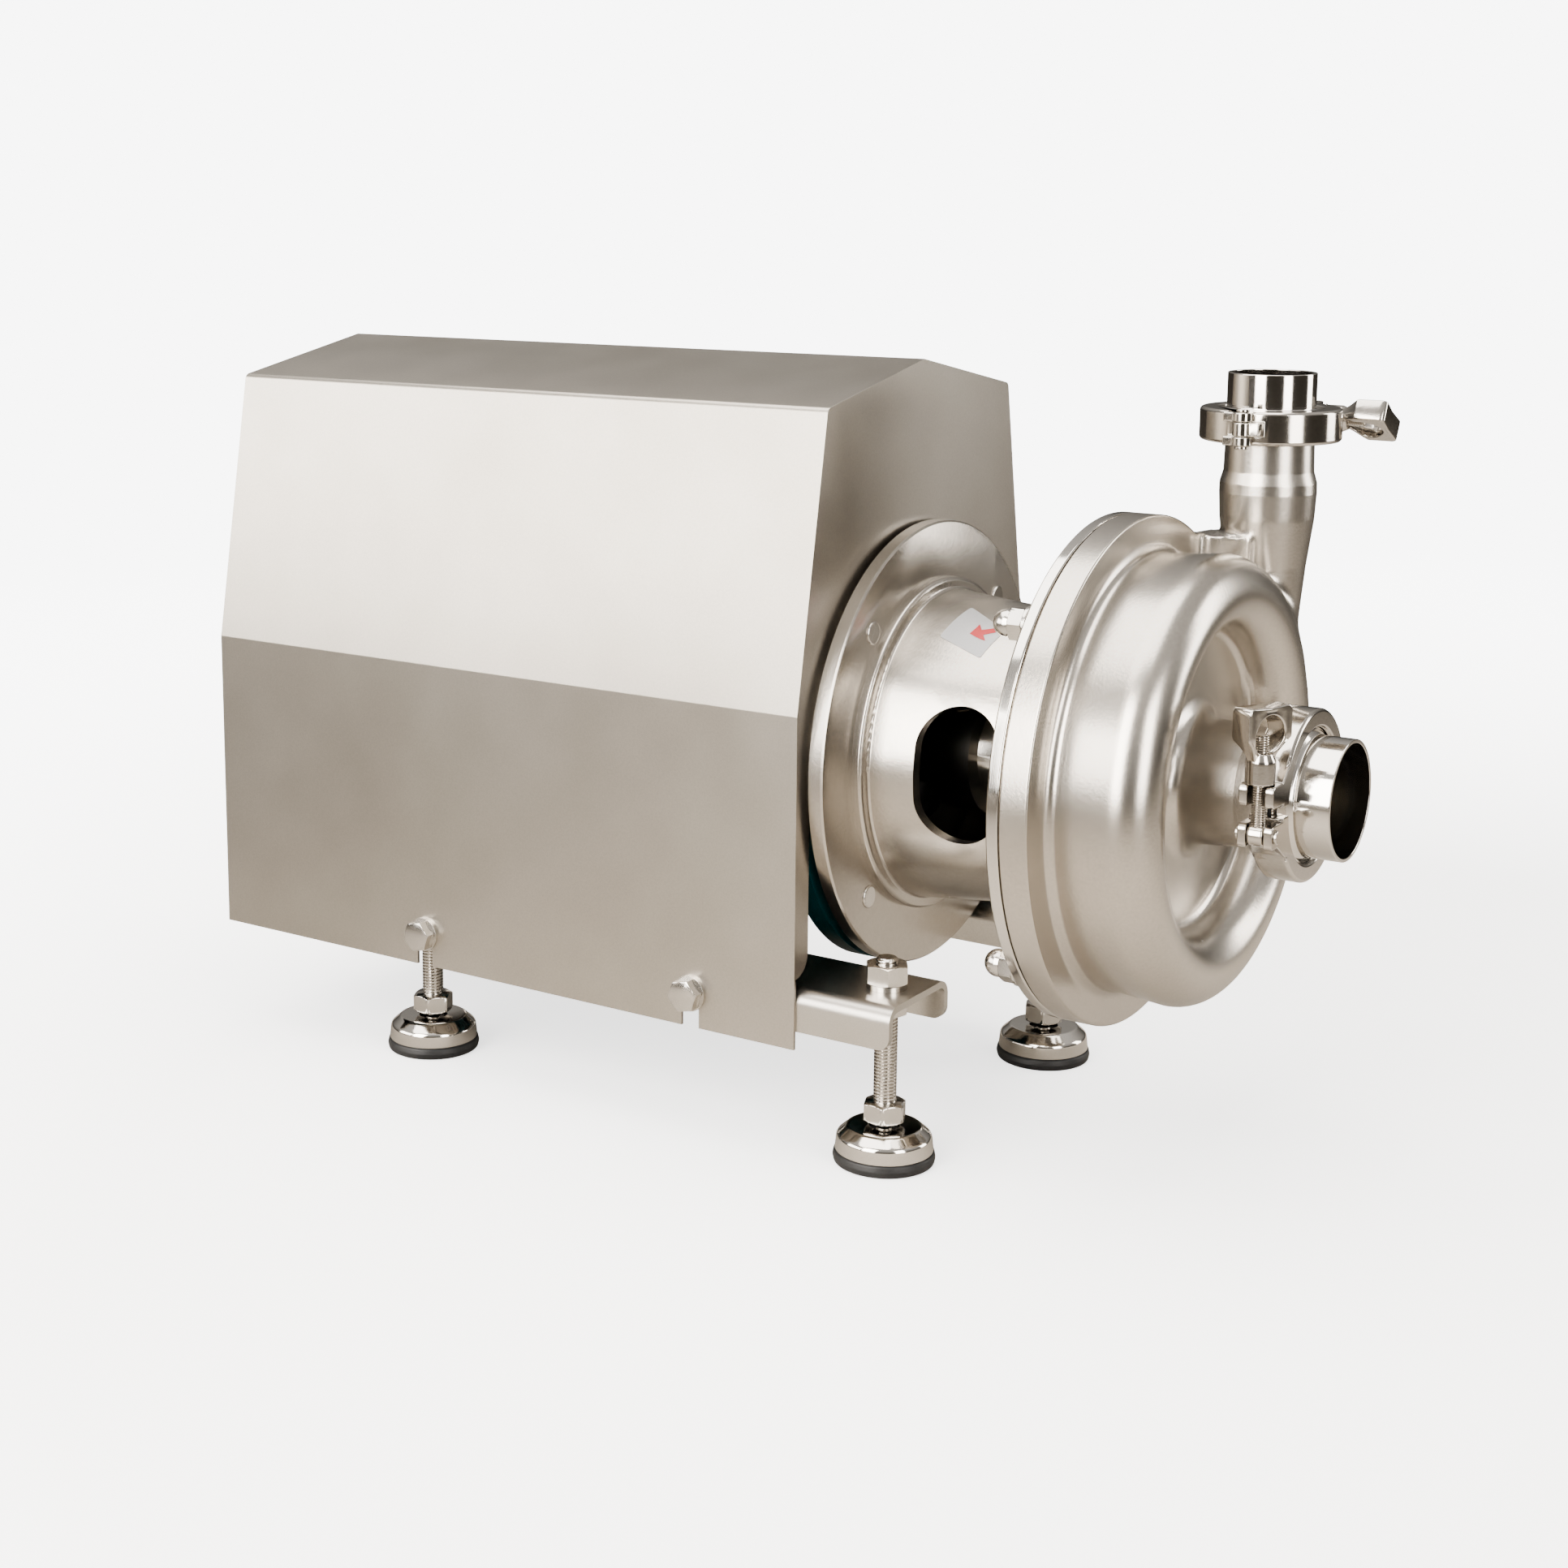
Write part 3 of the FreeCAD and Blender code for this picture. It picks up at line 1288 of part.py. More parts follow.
def wing_nut(ring_od, ear_height, turn_deg):
    # a threaded barrel that widens into a flat wing with a round finger hole
    y = bolt_line(ring_od)
    seat = nut_seat(ear_height)
    barrel = rod(nut_barrel_radius, (seat, 0, 0), nut_barrel_length)
    half = wing_width / 2
    top = seat + wing_length
    shoulder = seat + wing_hole_rise
    neck = seat + nut_barrel_length - 4
    points = [
        (neck, -nut_barrel_radius + 0.4), (shoulder, -half), (top - 1.2, -half), (top, -half + 2),
        (top, half - 2), (top - 1.2, half), (shoulder, half), (neck, nut_barrel_radius - 0.4)]
    wire = Part.makePolygon([V(px, py, -wing_thickness / 2) for px, py in points + points[:1]])
    wing = Part.Face(wire).extrude(V(0, 0, wing_thickness))
    nut = fuse_all([barrel, wing])
    nut = nut.cut(rod(wing_hole_radius, (seat + wing_hole_rise, 0, -wing_thickness), 2 * wing_thickness, axis_z))
    nut = nut.cut(rod(bolt_radius + running_clearance, (seat - 1, 0, 0), wing_hole_rise))
    nut.rotate(V(0, 0, 0), axis_x, -turn_deg)
    nut.translate(V(0, y, 0))
    return nut


ports = {
    "inlet": (to_inlet, inlet_tube_od, inlet_rim_od, inlet_ring_od, inlet_ear_height, inlet_wing_turn_deg),
    "outlet": (to_outlet, outlet_tube_od, outlet_rim_od, outlet_ring_od, outlet_ear_height, outlet_wing_turn_deg),
}


def build():
    nodes = {
        "cover": cover(),
        "cover_bolts": cover_bolts(),
        "rail_near": rail(-1),
        "rail_far": rail(1),
        "foot_lock_nuts": foot_lock_nuts(),
        "motor_frame": motor_frame(),
        "motor_foot_bolts": motor_foot_bolts(),
        "drive_end_shield": drive_end_shield(),
        "rear_end_shield": rear_end_shield(),
        "bearing_outer_rings": bearing_rings(False),
        "stator": stator(),
        "fan_cover": fan_cover(),
        "terminal_box": terminal_box(),
        "cable_gland": cable_gland(),
        "adapter": adapter(),
        "adapter_bolts": adapter_bolts(),
        "back_plate": back_plate(),
        "back_plate_screws": back_plate_screws(),
        "casing": casing(),
        "inlet_neck": inlet_neck(),
        "outlet_riser": outlet_riser(),
        "casing_studs": casing_studs(),
        "dome_nuts": dome_nuts(),
        "casing_gasket": casing_gasket(),
        "seal_seat": seal_seat(),
        "motor_shaft": motor_shaft(),
        "rotor_core": rotor_core(),
        "cooling_fan": cooling_fan(),
        "bearing_inner_rings": bearing_rings(True),
        "pump_shaft": pump_shaft(),
        "shaft_collar": shaft_collar(),
        "collar_screws": collar_screws(),
        "seal_ring": seal_ring(),
        "seal_spring": seal_spring(),
        "impeller": impeller(),
        "impeller_nut": impeller_nut(),
    }
    gaskets = []
    pins = []
    for name, (place, tube_od, rim_od, ring_od, ear_height, turn_deg) in ports.items():
        nodes[name + "_ferrule"] = place(ferrule(tube_od, rim_od))
        nodes[name + "_clamp_fixed_half"] = place(clamp_fixed_half(tube_od, rim_od, ring_od))
        nodes[name + "_clamp_moving_half"] = place(clamp_moving_half(tube_od, rim_od, ring_od, ear_height))
        nodes[name + "_swing_bolt"] = place(swing_bolt(ring_od, ear_height))
        nodes[name + "_wing_nut"] = place(wing_nut(ring_od, ear_height, turn_deg))
        gaskets.append(place(gasket(tube_od, rim_od)))
        pins += place(clamp_pins(ring_od)).Solids
    nodes["port_gaskets"] = group(gaskets)
    nodes["clamp_pins"] = group(pins)
    for name, (x, y) in foot_places().items():
        nodes["foot_rod_" + name] = foot_rod(x, y)
        nodes["foot_cap_" + name] = foot_cap(x, y)
        nodes["foot_pad_" + name] = foot_pad(x, y)
    return nodes


os.makedirs("parts", exist_ok=True)
for node, shape in build().items():
    shape.exportStep("parts/" + node + ".step")
    print(node, "solids", len(shape.Solids), "volume", round(shape.Volume, 1), "valid", shape.isValid())
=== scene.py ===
import json
import math
import bmesh
import bpy
import numpy as np
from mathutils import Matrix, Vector


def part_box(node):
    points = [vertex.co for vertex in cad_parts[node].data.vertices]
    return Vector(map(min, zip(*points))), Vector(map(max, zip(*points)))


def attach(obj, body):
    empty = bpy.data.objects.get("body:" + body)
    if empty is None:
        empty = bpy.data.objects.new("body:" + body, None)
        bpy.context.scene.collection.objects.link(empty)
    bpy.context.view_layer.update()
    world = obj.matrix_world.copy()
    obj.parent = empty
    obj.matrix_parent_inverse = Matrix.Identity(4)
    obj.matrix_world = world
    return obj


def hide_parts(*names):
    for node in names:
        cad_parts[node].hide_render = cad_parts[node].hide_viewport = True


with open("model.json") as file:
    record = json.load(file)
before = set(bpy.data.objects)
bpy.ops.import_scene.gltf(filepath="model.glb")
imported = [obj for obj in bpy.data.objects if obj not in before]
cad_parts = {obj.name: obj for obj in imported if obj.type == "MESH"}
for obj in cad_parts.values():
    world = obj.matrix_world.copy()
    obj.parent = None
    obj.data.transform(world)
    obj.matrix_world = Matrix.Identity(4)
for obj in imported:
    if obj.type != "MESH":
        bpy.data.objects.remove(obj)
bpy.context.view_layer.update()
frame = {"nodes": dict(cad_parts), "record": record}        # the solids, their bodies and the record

mm = 0.001
nodeOf = frame["nodes"]
bodyOf = {n: b for b, members in frame["record"]["behaviour"]["bodies"].items() for n in members}
slotOf = {r["node"]: r["material_slot"] for r in frame["record"]["subparts"]}
print("frame loaded:", len(nodeOf), "solids")


# low and high corner of a solid, in millimetres
def boxOf(node):
    low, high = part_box(node)
    return np.array(low) / mm, np.array(high) / mm


# The camera stands where the photographer did
view = {
    "spot": (317.1, -962.5, 246.8),
    "tiltDeg": 80.37,
    "turnDeg": 34.90,
    "lens": 56.30,
    "sensor": 36.0,
    "shift": (0.0939, -0.1159),
}


def setCamera():
    lens = bpy.data.cameras.new("camera")
    lens.lens = view["lens"]
    lens.sensor_width = view["sensor"]
    lens.shift_x, lens.shift_y = view["shift"]
    lens.clip_start = 0.02
    lens.clip_end = 60.0
    eye = bpy.data.objects.new("camera", lens)
    eye.location = [v * mm for v in view["spot"]]
    eye.rotation_euler = (math.radians(view["tiltDeg"]), 0.0, math.radians(view["turnDeg"]))
    bpy.context.scene.collection.objects.link(eye)
    bpy.context.scene.camera = eye


setCamera()


# Mesh building: every surface is a grid of points, worked out as whole arrays

# quads of a rows by cols grid, with the last row or column joined to the first where asked
def gridFaces(rows, cols, wrapRows=False, wrapCols=False):
    r = np.arange(rows if wrapRows else rows - 1)
    c = np.arange(cols if wrapCols else cols - 1)
    r, c = (a.ravel() for a in np.meshgrid(r, c, indexing="ij"))
    nextR, nextC = (r + 1) % rows, (c + 1) % cols
    return np.stack([r * cols + c, r * cols + nextC, nextR * cols + nextC, nextR * cols + c], 1)


# one list of points and faces from several
def joinParts(parts):
    points, faces, start = [], [], 0
    for p, f in parts:
        p = np.asarray(p, float).reshape(-1, 3)
        points.append(p)
        faces.append(np.asarray(f) + start)
        start += len(p)
    width = max(f.shape[1] for f in faces)
    faces = [f if f.shape[1] == width else np.concatenate([f, f[:, -1:]], 1) for f in faces]
    return np.concatenate(points), np.concatenate(faces)


# turns all faces round where the volume that they enclose comes out negative
def outward(part):
    points, faces = part
    a, b, c, d = (points[faces[:, k]] for k in (0, 1, 2, -1))
    volume = sum(np.einsum("ij,ij->i", a, np.cross(*pair)).sum() for pair in ((b, c), (c, d)))
    return points, (faces[:, ::-1] if volume < 0 else faces)


# points that agree to a ten-thousandth of a millimetre become one, so seams and poles close
def merged(points, faces):
    first, back = np.unique(np.round(points, 4), axis=0, return_index=True, return_inverse=True)[1:]
    return points[first], back.ravel()[faces]


def makeMesh(name, points, faces):
    points, faces = merged(np.asarray(points, float), np.asarray(faces))
    kept = faces != np.roll(faces, -1, axis=1)
    corners = kept.sum(1)
    kept[corners < 3] = False
    corners = corners[corners > 2]
    mesh = bpy.data.meshes.new(name)
    mesh.vertices.add(len(points))
    mesh.vertices.foreach_set("co", (points * mm).ravel())
    loops = faces[kept]
    mesh.loops.add(len(loops))
    mesh.loops.foreach_set("vertex_index", loops)
    mesh.polygons.add(len(corners))
    mesh.polygons.foreach_set("loop_start", np.concatenate([[0], np.cumsum(corners)[:-1]]))
    mesh.update(calc_edges=True)
    mesh.validate()
    return mesh


# a corner list becomes a line with each corner rounded: the arc's ends lie radius x tan(half the turn) from the
# corner, and a support point stands just before and after each arc, so long flats stay flat in the shading
def roundedPath(corners, radii, steps=5, closed=True):
    spots = np.asarray(corners, float)
    count = len(spots)
    out = []
    for k in range(count):
        here, radius = spots[k], radii[k] if np.ndim(radii) else radii
        if radius <= 0 or (not closed and k in (0, count - 1)):
            out.append(here[None])
            continue
        back = spots[k - 1] - here
        ahead = spots[(k + 1) % count] - here
        backLength, aheadLength = np.linalg.norm(back), np.linalg.norm(ahead)
        back, ahead = back / backLength, ahead / aheadLength
        half = math.acos(np.clip(back @ ahead, -1, 1)) / 2
        reach = radius / math.tan(half)
        middle = here + (back + ahead) / np.linalg.norm(back + ahead) * radius / math.sin(half)
        start, end = here + back * reach - middle, here + ahead * reach - middle
        sweep = math.pi - 2 * half
        t = np.linspace(0, 1, steps + 1)[:, None]
        arc = middle + (np.sin((1 - t) * sweep) * start + np.sin(t * sweep) * end) / math.sin(sweep)
        lead = min(0.3 * radius, 0.3 * max(backLength - reach, 0.0), 0.3 * max(aheadLength - reach, 0.0))
        out += [(here + back * (reach + lead))[None], arc, (here + ahead * (reach + lead))[None]]
    return np.concatenate(out)


# unit vectors across an axis: the two that make a right-handed set with it
def acrossOf(axis):
    axis = np.asarray(axis, float) / np.linalg.norm(axis)
    helper = np.array([0.0, 0.0, 1.0]) if abs(axis[2]) < 0.9 else np.array([1.0, 0.0, 0.0])
    first = np.cross(helper, axis)
    first /= np.linalg.norm(first)
    return axis, first, np.cross(axis, first)


# turned shape: (along, radius) points carried round an axis through the origin spot
def turned(profile, spot=(0, 0, 0), axis=(1, 0, 0), count=96, closed=True, angles=None):
    axis, first, second = acrossOf(axis)
    profile = np.asarray(profile, float)
    a = np.arange(count) * 2 * math.pi / count if angles is None else np.asarray(angles)
    ring = np.cos(a)[:, None] * first + np.sin(a)[:, None] * second
    points = np.asarray(spot, float) + profile[:, :1, None] * axis + profile[:, 1:, None] * ring[None]
    return outward((points.reshape(-1, 3), gridFaces(len(profile), len(a), closed, True)))


# hexagonal nut or head: at each angle the radius is the smaller of the hexagon's and the chamfer cone's
def hexNut(flats, height, bore, spot, axis, turnDeg=0.0, chamfer=0.93):
    axis, first, second = acrossOf(axis)
    count = 96
    a = np.linspace(0, 2 * math.pi, count + 1)[:-1]
    hexR = flats / 2 / np.cos((a + math.radians(turnDeg) + math.pi / 6) % (math.pi / 3) - math.pi / 6)
    outer = flats / 2 / math.cos(math.pi / 6)
    rise = (outer - chamfer * flats / 2) * math.tan(math.radians(30))
    levels = np.concatenate([rise * np.linspace(0, 1, 5), [height / 2], height - rise * np.linspace(1, 0, 5)])
    cone = chamfer * flats / 2 + np.minimum(levels, height - levels) / math.tan(math.radians(30))
    radius = np.minimum(hexR[None], np.minimum(cone, outer)[:, None])
    rows = np.concatenate([[np.full(count, bore)], radius, [np.full(count, bore)]])
    along = np.concatenate([[0.0], levels, [height]])
    ring = np.cos(a)[:, None] * first + np.sin(a)[:, None] * second
    points = np.asarray(spot, float) + along[:, None, None] * axis + rows[:, :, None] * ring[None]
    return outward((points.reshape(-1, 3), gridFaces(len(rows), count, True, True)))


# threaded rod: the radius falls by the depth and comes back once for each pitch, and the groove climbs one pitch
# in each turn; at both ends a cone limits the radius
def threadedRod(radius, pitch, spot, axis, length, endCone=1.0, count=28):
    axis, first, second = acrossOf(axis)
    depth = 0.6 * pitch
    rows = int(length / pitch * 8) + 2
    along, a = np.meshgrid(np.linspace(0, length, rows), np.arange(count) * 2 * math.pi / count, indexing="ij")
    phase = (along / pitch - a / (2 * math.pi)) % 1.0
    groove = np.clip(1.25 - np.abs(2 * phase - 1) * 2.5, 0, 1)
    edge = radius - endCone + np.minimum(along, length - along)
    r = np.minimum(radius - depth * groove, np.maximum(edge, radius - endCone))
    points = np.asarray(spot, float) + along[..., None] * axis
    points = points + r[..., None] * (np.cos(a)[..., None] * first + np.sin(a)[..., None] * second)
    ends = [np.asarray(spot, float) + t * axis for t in (0.0, length)]
    bottom, top = (np.repeat(end[None, None], count, 1) for end in ends)
    full = np.concatenate([bottom, points, top])
    return outward((full.reshape(-1, 3), gridFaces(rows + 2, count, False, True)))


dressedNodes = set()


# puts a finished mesh on its body, in its finish, in place of the nodes that it stands for
def addPiece(name, mesh, body, slot, nodes=(), sharpDeg=32.0, finish=None):
    mesh.shade_smooth()
    mesh.set_sharp_from_angle(angle=math.radians(sharpDeg))
    piece = bpy.data.objects.new(name, mesh)
    bpy.context.scene.collection.objects.link(piece)
    mesh.materials.append(finish or finishes[slot])
    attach(piece, body)
    if nodes:
        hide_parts(*nodes)
        dressedNodes.update(nodes)
    return piece


# one piece from several closed parts, in place of one node
def replaceNode(node, parts, sharpDeg=32.0):
    points, faces = joinParts(parts)
    name = node + "_surface"
    return addPiece(name, makeMesh(name, points, faces), bodyOf[node], slotOf[node], [node], sharpDeg)


# a cleaned copy of a solid's mesh: doubles merged, flat areas joined, edges softened
def copyNode(node, bevel=0.0, sharpDeg=30.0, finish=None):
    mesh = nodeOf[node].data.copy()
    mesh.name = node + "_finished"
    mesh.materials.clear()
    work = bmesh.new()
    work.from_mesh(mesh)
    bmesh.ops.remove_doubles(work, verts=work.verts, dist=1e-6)
    bmesh.ops.dissolve_limit(work, angle_limit=math.radians(0.5), verts=work.verts, edges=work.edges)
    work.to_mesh(mesh)
    work.free()
    piece = addPiece(node + "_finished", mesh, bodyOf[node], slotOf[node], [node], sharpDeg, finish)
    if bevel > 0:
        soft = piece.modifiers.new("edges", "BEVEL")
        soft.width = bevel * mm
        soft.segments = 2
        soft.limit_method = "ANGLE"
        soft.angle_limit = math.radians(35)
        soft.harden_normals = True
    return piece


# Finishes: shared effects are node groups, and each material sets their values

def addNode(tree, kind, spot, **settings):
    node = tree.nodes.new(kind)
    node.location = spot
    for key, value in settings.items():
        if key in node.inputs:
            node.inputs[key].default_value = value
        else:
            setattr(node, key, value)
    return node


def newGroup(name, inputs, outputs):
    group = bpy.data.node_groups.new(name, "ShaderNodeTree")
    for label, kind, value in inputs:
        socket = group.interface.new_socket(label, in_out="INPUT", socket_type="NodeSocket" + kind)
        if value is not None:
            socket.default_value = value
    for label, kind in outputs:
        group.interface.new_socket(label, in_out="OUTPUT", socket_type="NodeSocket" + kind)
    return group, addNode(group, "NodeGroupInput", (-900, 0)), addNode(group, "NodeGroupOutput", (700, 0))


def mathNode(tree, spot, operation, first, second, clamp=False):
    node = addNode(tree, "ShaderNodeMath", spot, operation=operation, use_clamp=clamp)
    for k, value in enumerate((first, second)):
        if isinstance(value, (int, float)):
            node.inputs[k].default_value = value
        else:
            tree.links.new(value, node.inputs[k])
    return node.outputs[0]


# noise whose size is given in millimetres: the scale is 1000 over the size
def sizedNoise(tree, spot, vector, size, detail, rough=0.5):
    noise = addNode(tree, "ShaderNodeTexNoise", spot, Detail=detail, Roughness=rough)
    tree.links.new(vector, noise.inputs["Vector"])
    tree.links.new(mathNode(tree, (spot[0] - 180, spot[1]), "DIVIDE", 1000.0, size), noise.inputs["Scale"])
    return noise.outputs["Fac"]


def colourMix(tree, spot, share, first, second, blend="MIX"):
    mix = addNode(tree, "ShaderNodeMix", spot, data_type="RGBA", blend_type=blend)
    tree.links.new(share, mix.inputs[0])
    for k, value in ((6, first), (7, second)):
        if isinstance(value, tuple):
            mix.inputs[k].default_value = value
        else:
            tree.links.new(value, mix.inputs[k])
    return mix.outputs[2]


# stained metal: slow clouds tint the colour, smears and grain move the roughness
def buildMetalSkin():
    tree, given, result = newGroup("metalSkin", [
        ("Vector", "Vector", None), ("Colour", "Color", (0.6, 0.6, 0.6, 1)), ("Stain", "Color", (0.5, 0.45, 0.4, 1)),
        ("Cloud", "Float", 90.0), ("Amount", "Float", 0.5), ("Roughness", "Float", 0.3), ("Spread", "Float", 0.08),
        ("Grain", "Float", 0.6)], [("Colour", "Color"), ("Roughness", "Float"), ("Height", "Float")])
    vector = given.outputs["Vector"]
    cloud = sizedNoise(tree, (-500, 300), vector, given.outputs["Cloud"], 3.0, 0.6)
    third = mathNode(tree, (-700, 0), "MULTIPLY", given.outputs["Cloud"], 0.27)
    smear = sizedNoise(tree, (-500, 0), vector, third, 5.0, 0.65)
    grain = sizedNoise(tree, (-500, -300), vector, given.outputs["Grain"], 2.0, 0.55)
    share = mathNode(tree, (-300, 300), "SUBTRACT", cloud, 0.40)
    share = mathNode(tree, (-150, 300), "MULTIPLY", share, 3.2, True)
    share = mathNode(tree, (0, 300), "MULTIPLY", share, given.outputs["Amount"], True)
    colour = colourMix(tree, (200, 300), share, given.outputs["Colour"], given.outputs["Stain"])
    speck = mathNode(tree, (0, 100), "MULTIPLY", mathNode(tree, (-150, 100), "SUBTRACT", grain, 0.5), 0.22)
    speck = mathNode(tree, (150, 100), "ADD", speck, 0.97)
    shade = addNode(tree, "ShaderNodeCombineColor", (300, 100))
    for k in range(3):
        tree.links.new(speck, shade.inputs[k])
    full = addNode(tree, "ShaderNodeValue", (300, -100))
    full.outputs[0].default_value = 1.0
    colour = colourMix(tree, (450, 250), full.outputs[0], colour, shade.outputs[0], "MULTIPLY")
    wander = mathNode(tree, (-150, -50), "SUBTRACT", smear, 0.5)
    wander = mathNode(tree, (0, -50), "MULTIPLY", wander, given.outputs["Spread"])
    wander = mathNode(tree, (150, -50), "MULTIPLY", wander, 2.0)
    rough = mathNode(tree, (300, -200), "ADD", wander, given.outputs["Roughness"], True)
    tree.links.new(colour, result.inputs["Colour"])
    tree.links.new(rough, result.inputs["Roughness"])
    tree.links.new(grain, result.inputs["Height"])
    return tree


# fine lines: noise stretched along one direction, or round an axis by reading only the radius and the height
def buildFineLines():
    tree, given, result = newGroup("fineLines", [
        ("Vector", "Vector", None), ("Round", "Float", 0.0), ("Size", "Float", 0.3)], [("Height", "Float")])
    parts = addNode(tree, "ShaderNodeSeparateXYZ", (-700, 0))
    tree.links.new(given.outputs["Vector"], parts.inputs[0])
    x, y, z = parts.outputs
    squares = mathNode(tree, (-500, 100), "ADD", mathNode(tree, (-600, 150), "MULTIPLY", x, x),
                       mathNode(tree, (-600, 50), "MULTIPLY", y, y))
    radius = mathNode(tree, (-400, 100), "SQRT", squares, 0.0)
    around = addNode(tree, "ShaderNodeCombineXYZ", (-200, 100))
    tree.links.new(radius, around.inputs[0])
    tree.links.new(z, around.inputs[2])
    along = addNode(tree, "ShaderNodeCombineXYZ", (-200, -100))
    tree.links.new(mathNode(tree, (-400, -100), "MULTIPLY", x, 0.02), along.inputs[0])
    tree.links.new(y, along.inputs[1])
    tree.links.new(z, along.inputs[2])
    both = addNode(tree, "ShaderNodeMix", (0, 0), data_type="VECTOR")
    tree.links.new(given.outputs["Round"], both.inputs[0])
    tree.links.new(along.outputs[0], both.inputs[4])
    tree.links.new(around.outputs[0], both.inputs[5])
    lines = sizedNoise(tree, (300, 0), both.outputs[1], given.outputs["Size"], 3.0, 0.6)
    tree.links.new(lines, result.inputs["Height"])
    return tree


# height of the grain in metres, for each millimetre of its size, and height of the lines
grainHeight = 0.0004
lineHeight = 0.0001
quarterTurn = 1.5708
metalSkin = buildMetalSkin()
fineLines = buildFineLines()

# For every metal: colour, the stain's colour and size, how much it shows, roughness and its spread, the grain's size
# and height, and the polishing or rolling lines: their strength, and 1 where they run round the x axis, 0 along it
steels = {
    "cover_sheet": {"colour": (0.515, 0.482, 0.435), "stain": (0.37, 0.335, 0.29), "cloud": 130.0, "amount": 0.5,
                    "rough": 0.33, "spread": 0.03, "grain": 0.8, "bump": 0.05, "lines": 0.0, "round": 0.0},
    "rail_steel": {"colour": (0.60, 0.57, 0.53), "stain": (0.50, 0.46, 0.41), "cloud": 60.0, "amount": 0.3,
                   "rough": 0.30, "spread": 0.04, "grain": 0.6, "bump": 0.04, "lines": 0.08, "round": 0.0},
    "cast_steel": {"colour": (0.57, 0.535, 0.49), "stain": (0.47, 0.43, 0.38), "cloud": 70.0, "amount": 0.3,
                   "rough": 0.262, "spread": 0.025, "grain": 1.3, "bump": 0.055, "lines": 0.0, "round": 0.0},
    "polished_steel": {"colour": (0.72, 0.695, 0.66), "stain": (0.64, 0.60, 0.55), "cloud": 30.0, "amount": 0.3,
                       "rough": 0.10, "spread": 0.03, "grain": 0.5, "bump": 0.01, "lines": 0.05, "round": 1.0},
    "clamp_steel": {"colour": (0.60, 0.57, 0.53), "stain": (0.58, 0.54, 0.49), "cloud": 22.0, "amount": 0.3,
                    "rough": 0.13, "spread": 0.03, "grain": 1.6, "bump": 0.02, "lines": 0.0, "round": 0.0},
    "fastener": {"colour": (0.68, 0.655, 0.62), "stain": (0.50, 0.47, 0.43), "cloud": 14.0, "amount": 0.3,
                 "rough": 0.17, "spread": 0.04, "grain": 0.5, "bump": 0.03, "lines": 0.0, "round": 0.0},
    "shaft_steel": {"colour": (0.55, 0.53, 0.50), "stain": (0.40, 0.37, 0.33), "cloud": 20.0, "amount": 0.4,
                    "rough": 0.22, "spread": 0.05, "grain": 0.4, "bump": 0.03, "lines": 0.12, "round": 1.0},
    "bearing_steel": {"colour": (0.70, 0.70, 0.70), "stain": (0.62, 0.62, 0.62), "cloud": 20.0, "amount": 0.2,
                      "rough": 0.10, "spread": 0.03, "grain": 0.4, "bump": 0.01, "lines": 0.06, "round": 1.0},
}


# Painted, moulded and rubber finishes: colour, worn colour, roughness, grain size and height, clear gloss
coats = {
    "motor_paint": {"colour": (0.003, 0.034, 0.038), "stain": (0.006, 0.05, 0.055),
                    "rough": 0.34, "grain": 1.6, "bump": 0.12, "coat": 0.25},
    "winding_core": {"colour": (0.20, 0.12, 0.07), "stain": (0.28, 0.20, 0.14),
                     "rough": 0.45, "grain": 1.0, "bump": 0.3, "coat": 0.1},
    "fan_plastic": {"colour": (0.018, 0.018, 0.020), "stain": (0.035, 0.035, 0.037),
                    "rough": 0.45, "grain": 0.5, "bump": 0.1, "coat": 0.0},
    "gland_plastic": {"colour": (0.020, 0.020, 0.022), "stain": (0.04, 0.04, 0.042),
                      "rough": 0.40, "grain": 0.4, "bump": 0.1, "coat": 0.0},
    "seal_face": {"colour": (0.022, 0.022, 0.026), "stain": (0.04, 0.04, 0.045),
                  "rough": 0.22, "grain": 0.4, "bump": 0.03, "coat": 0.0},
    "seal_rubber": {"colour": (0.016, 0.016, 0.017), "stain": (0.03, 0.03, 0.03),
                    "rough": 0.55, "grain": 0.5, "bump": 0.15, "coat": 0.0},
    "foot_rubber": {"colour": (0.012, 0.012, 0.013), "stain": (0.035, 0.034, 0.033),
                    "rough": 0.48, "grain": 0.7, "bump": 0.25, "coat": 0.0},
    "label_white": {"colour": (0.40, 0.40, 0.41), "stain": (0.37, 0.37, 0.37),
                    "rough": 0.35, "grain": 0.6, "bump": 0.04, "coat": 0.2},
    "label_red": {"colour": (0.42, 0.004, 0.006), "stain": (0.52, 0.02, 0.02),
                  "rough": 0.35, "grain": 0.6, "bump": 0.04, "coat": 0.2},
}


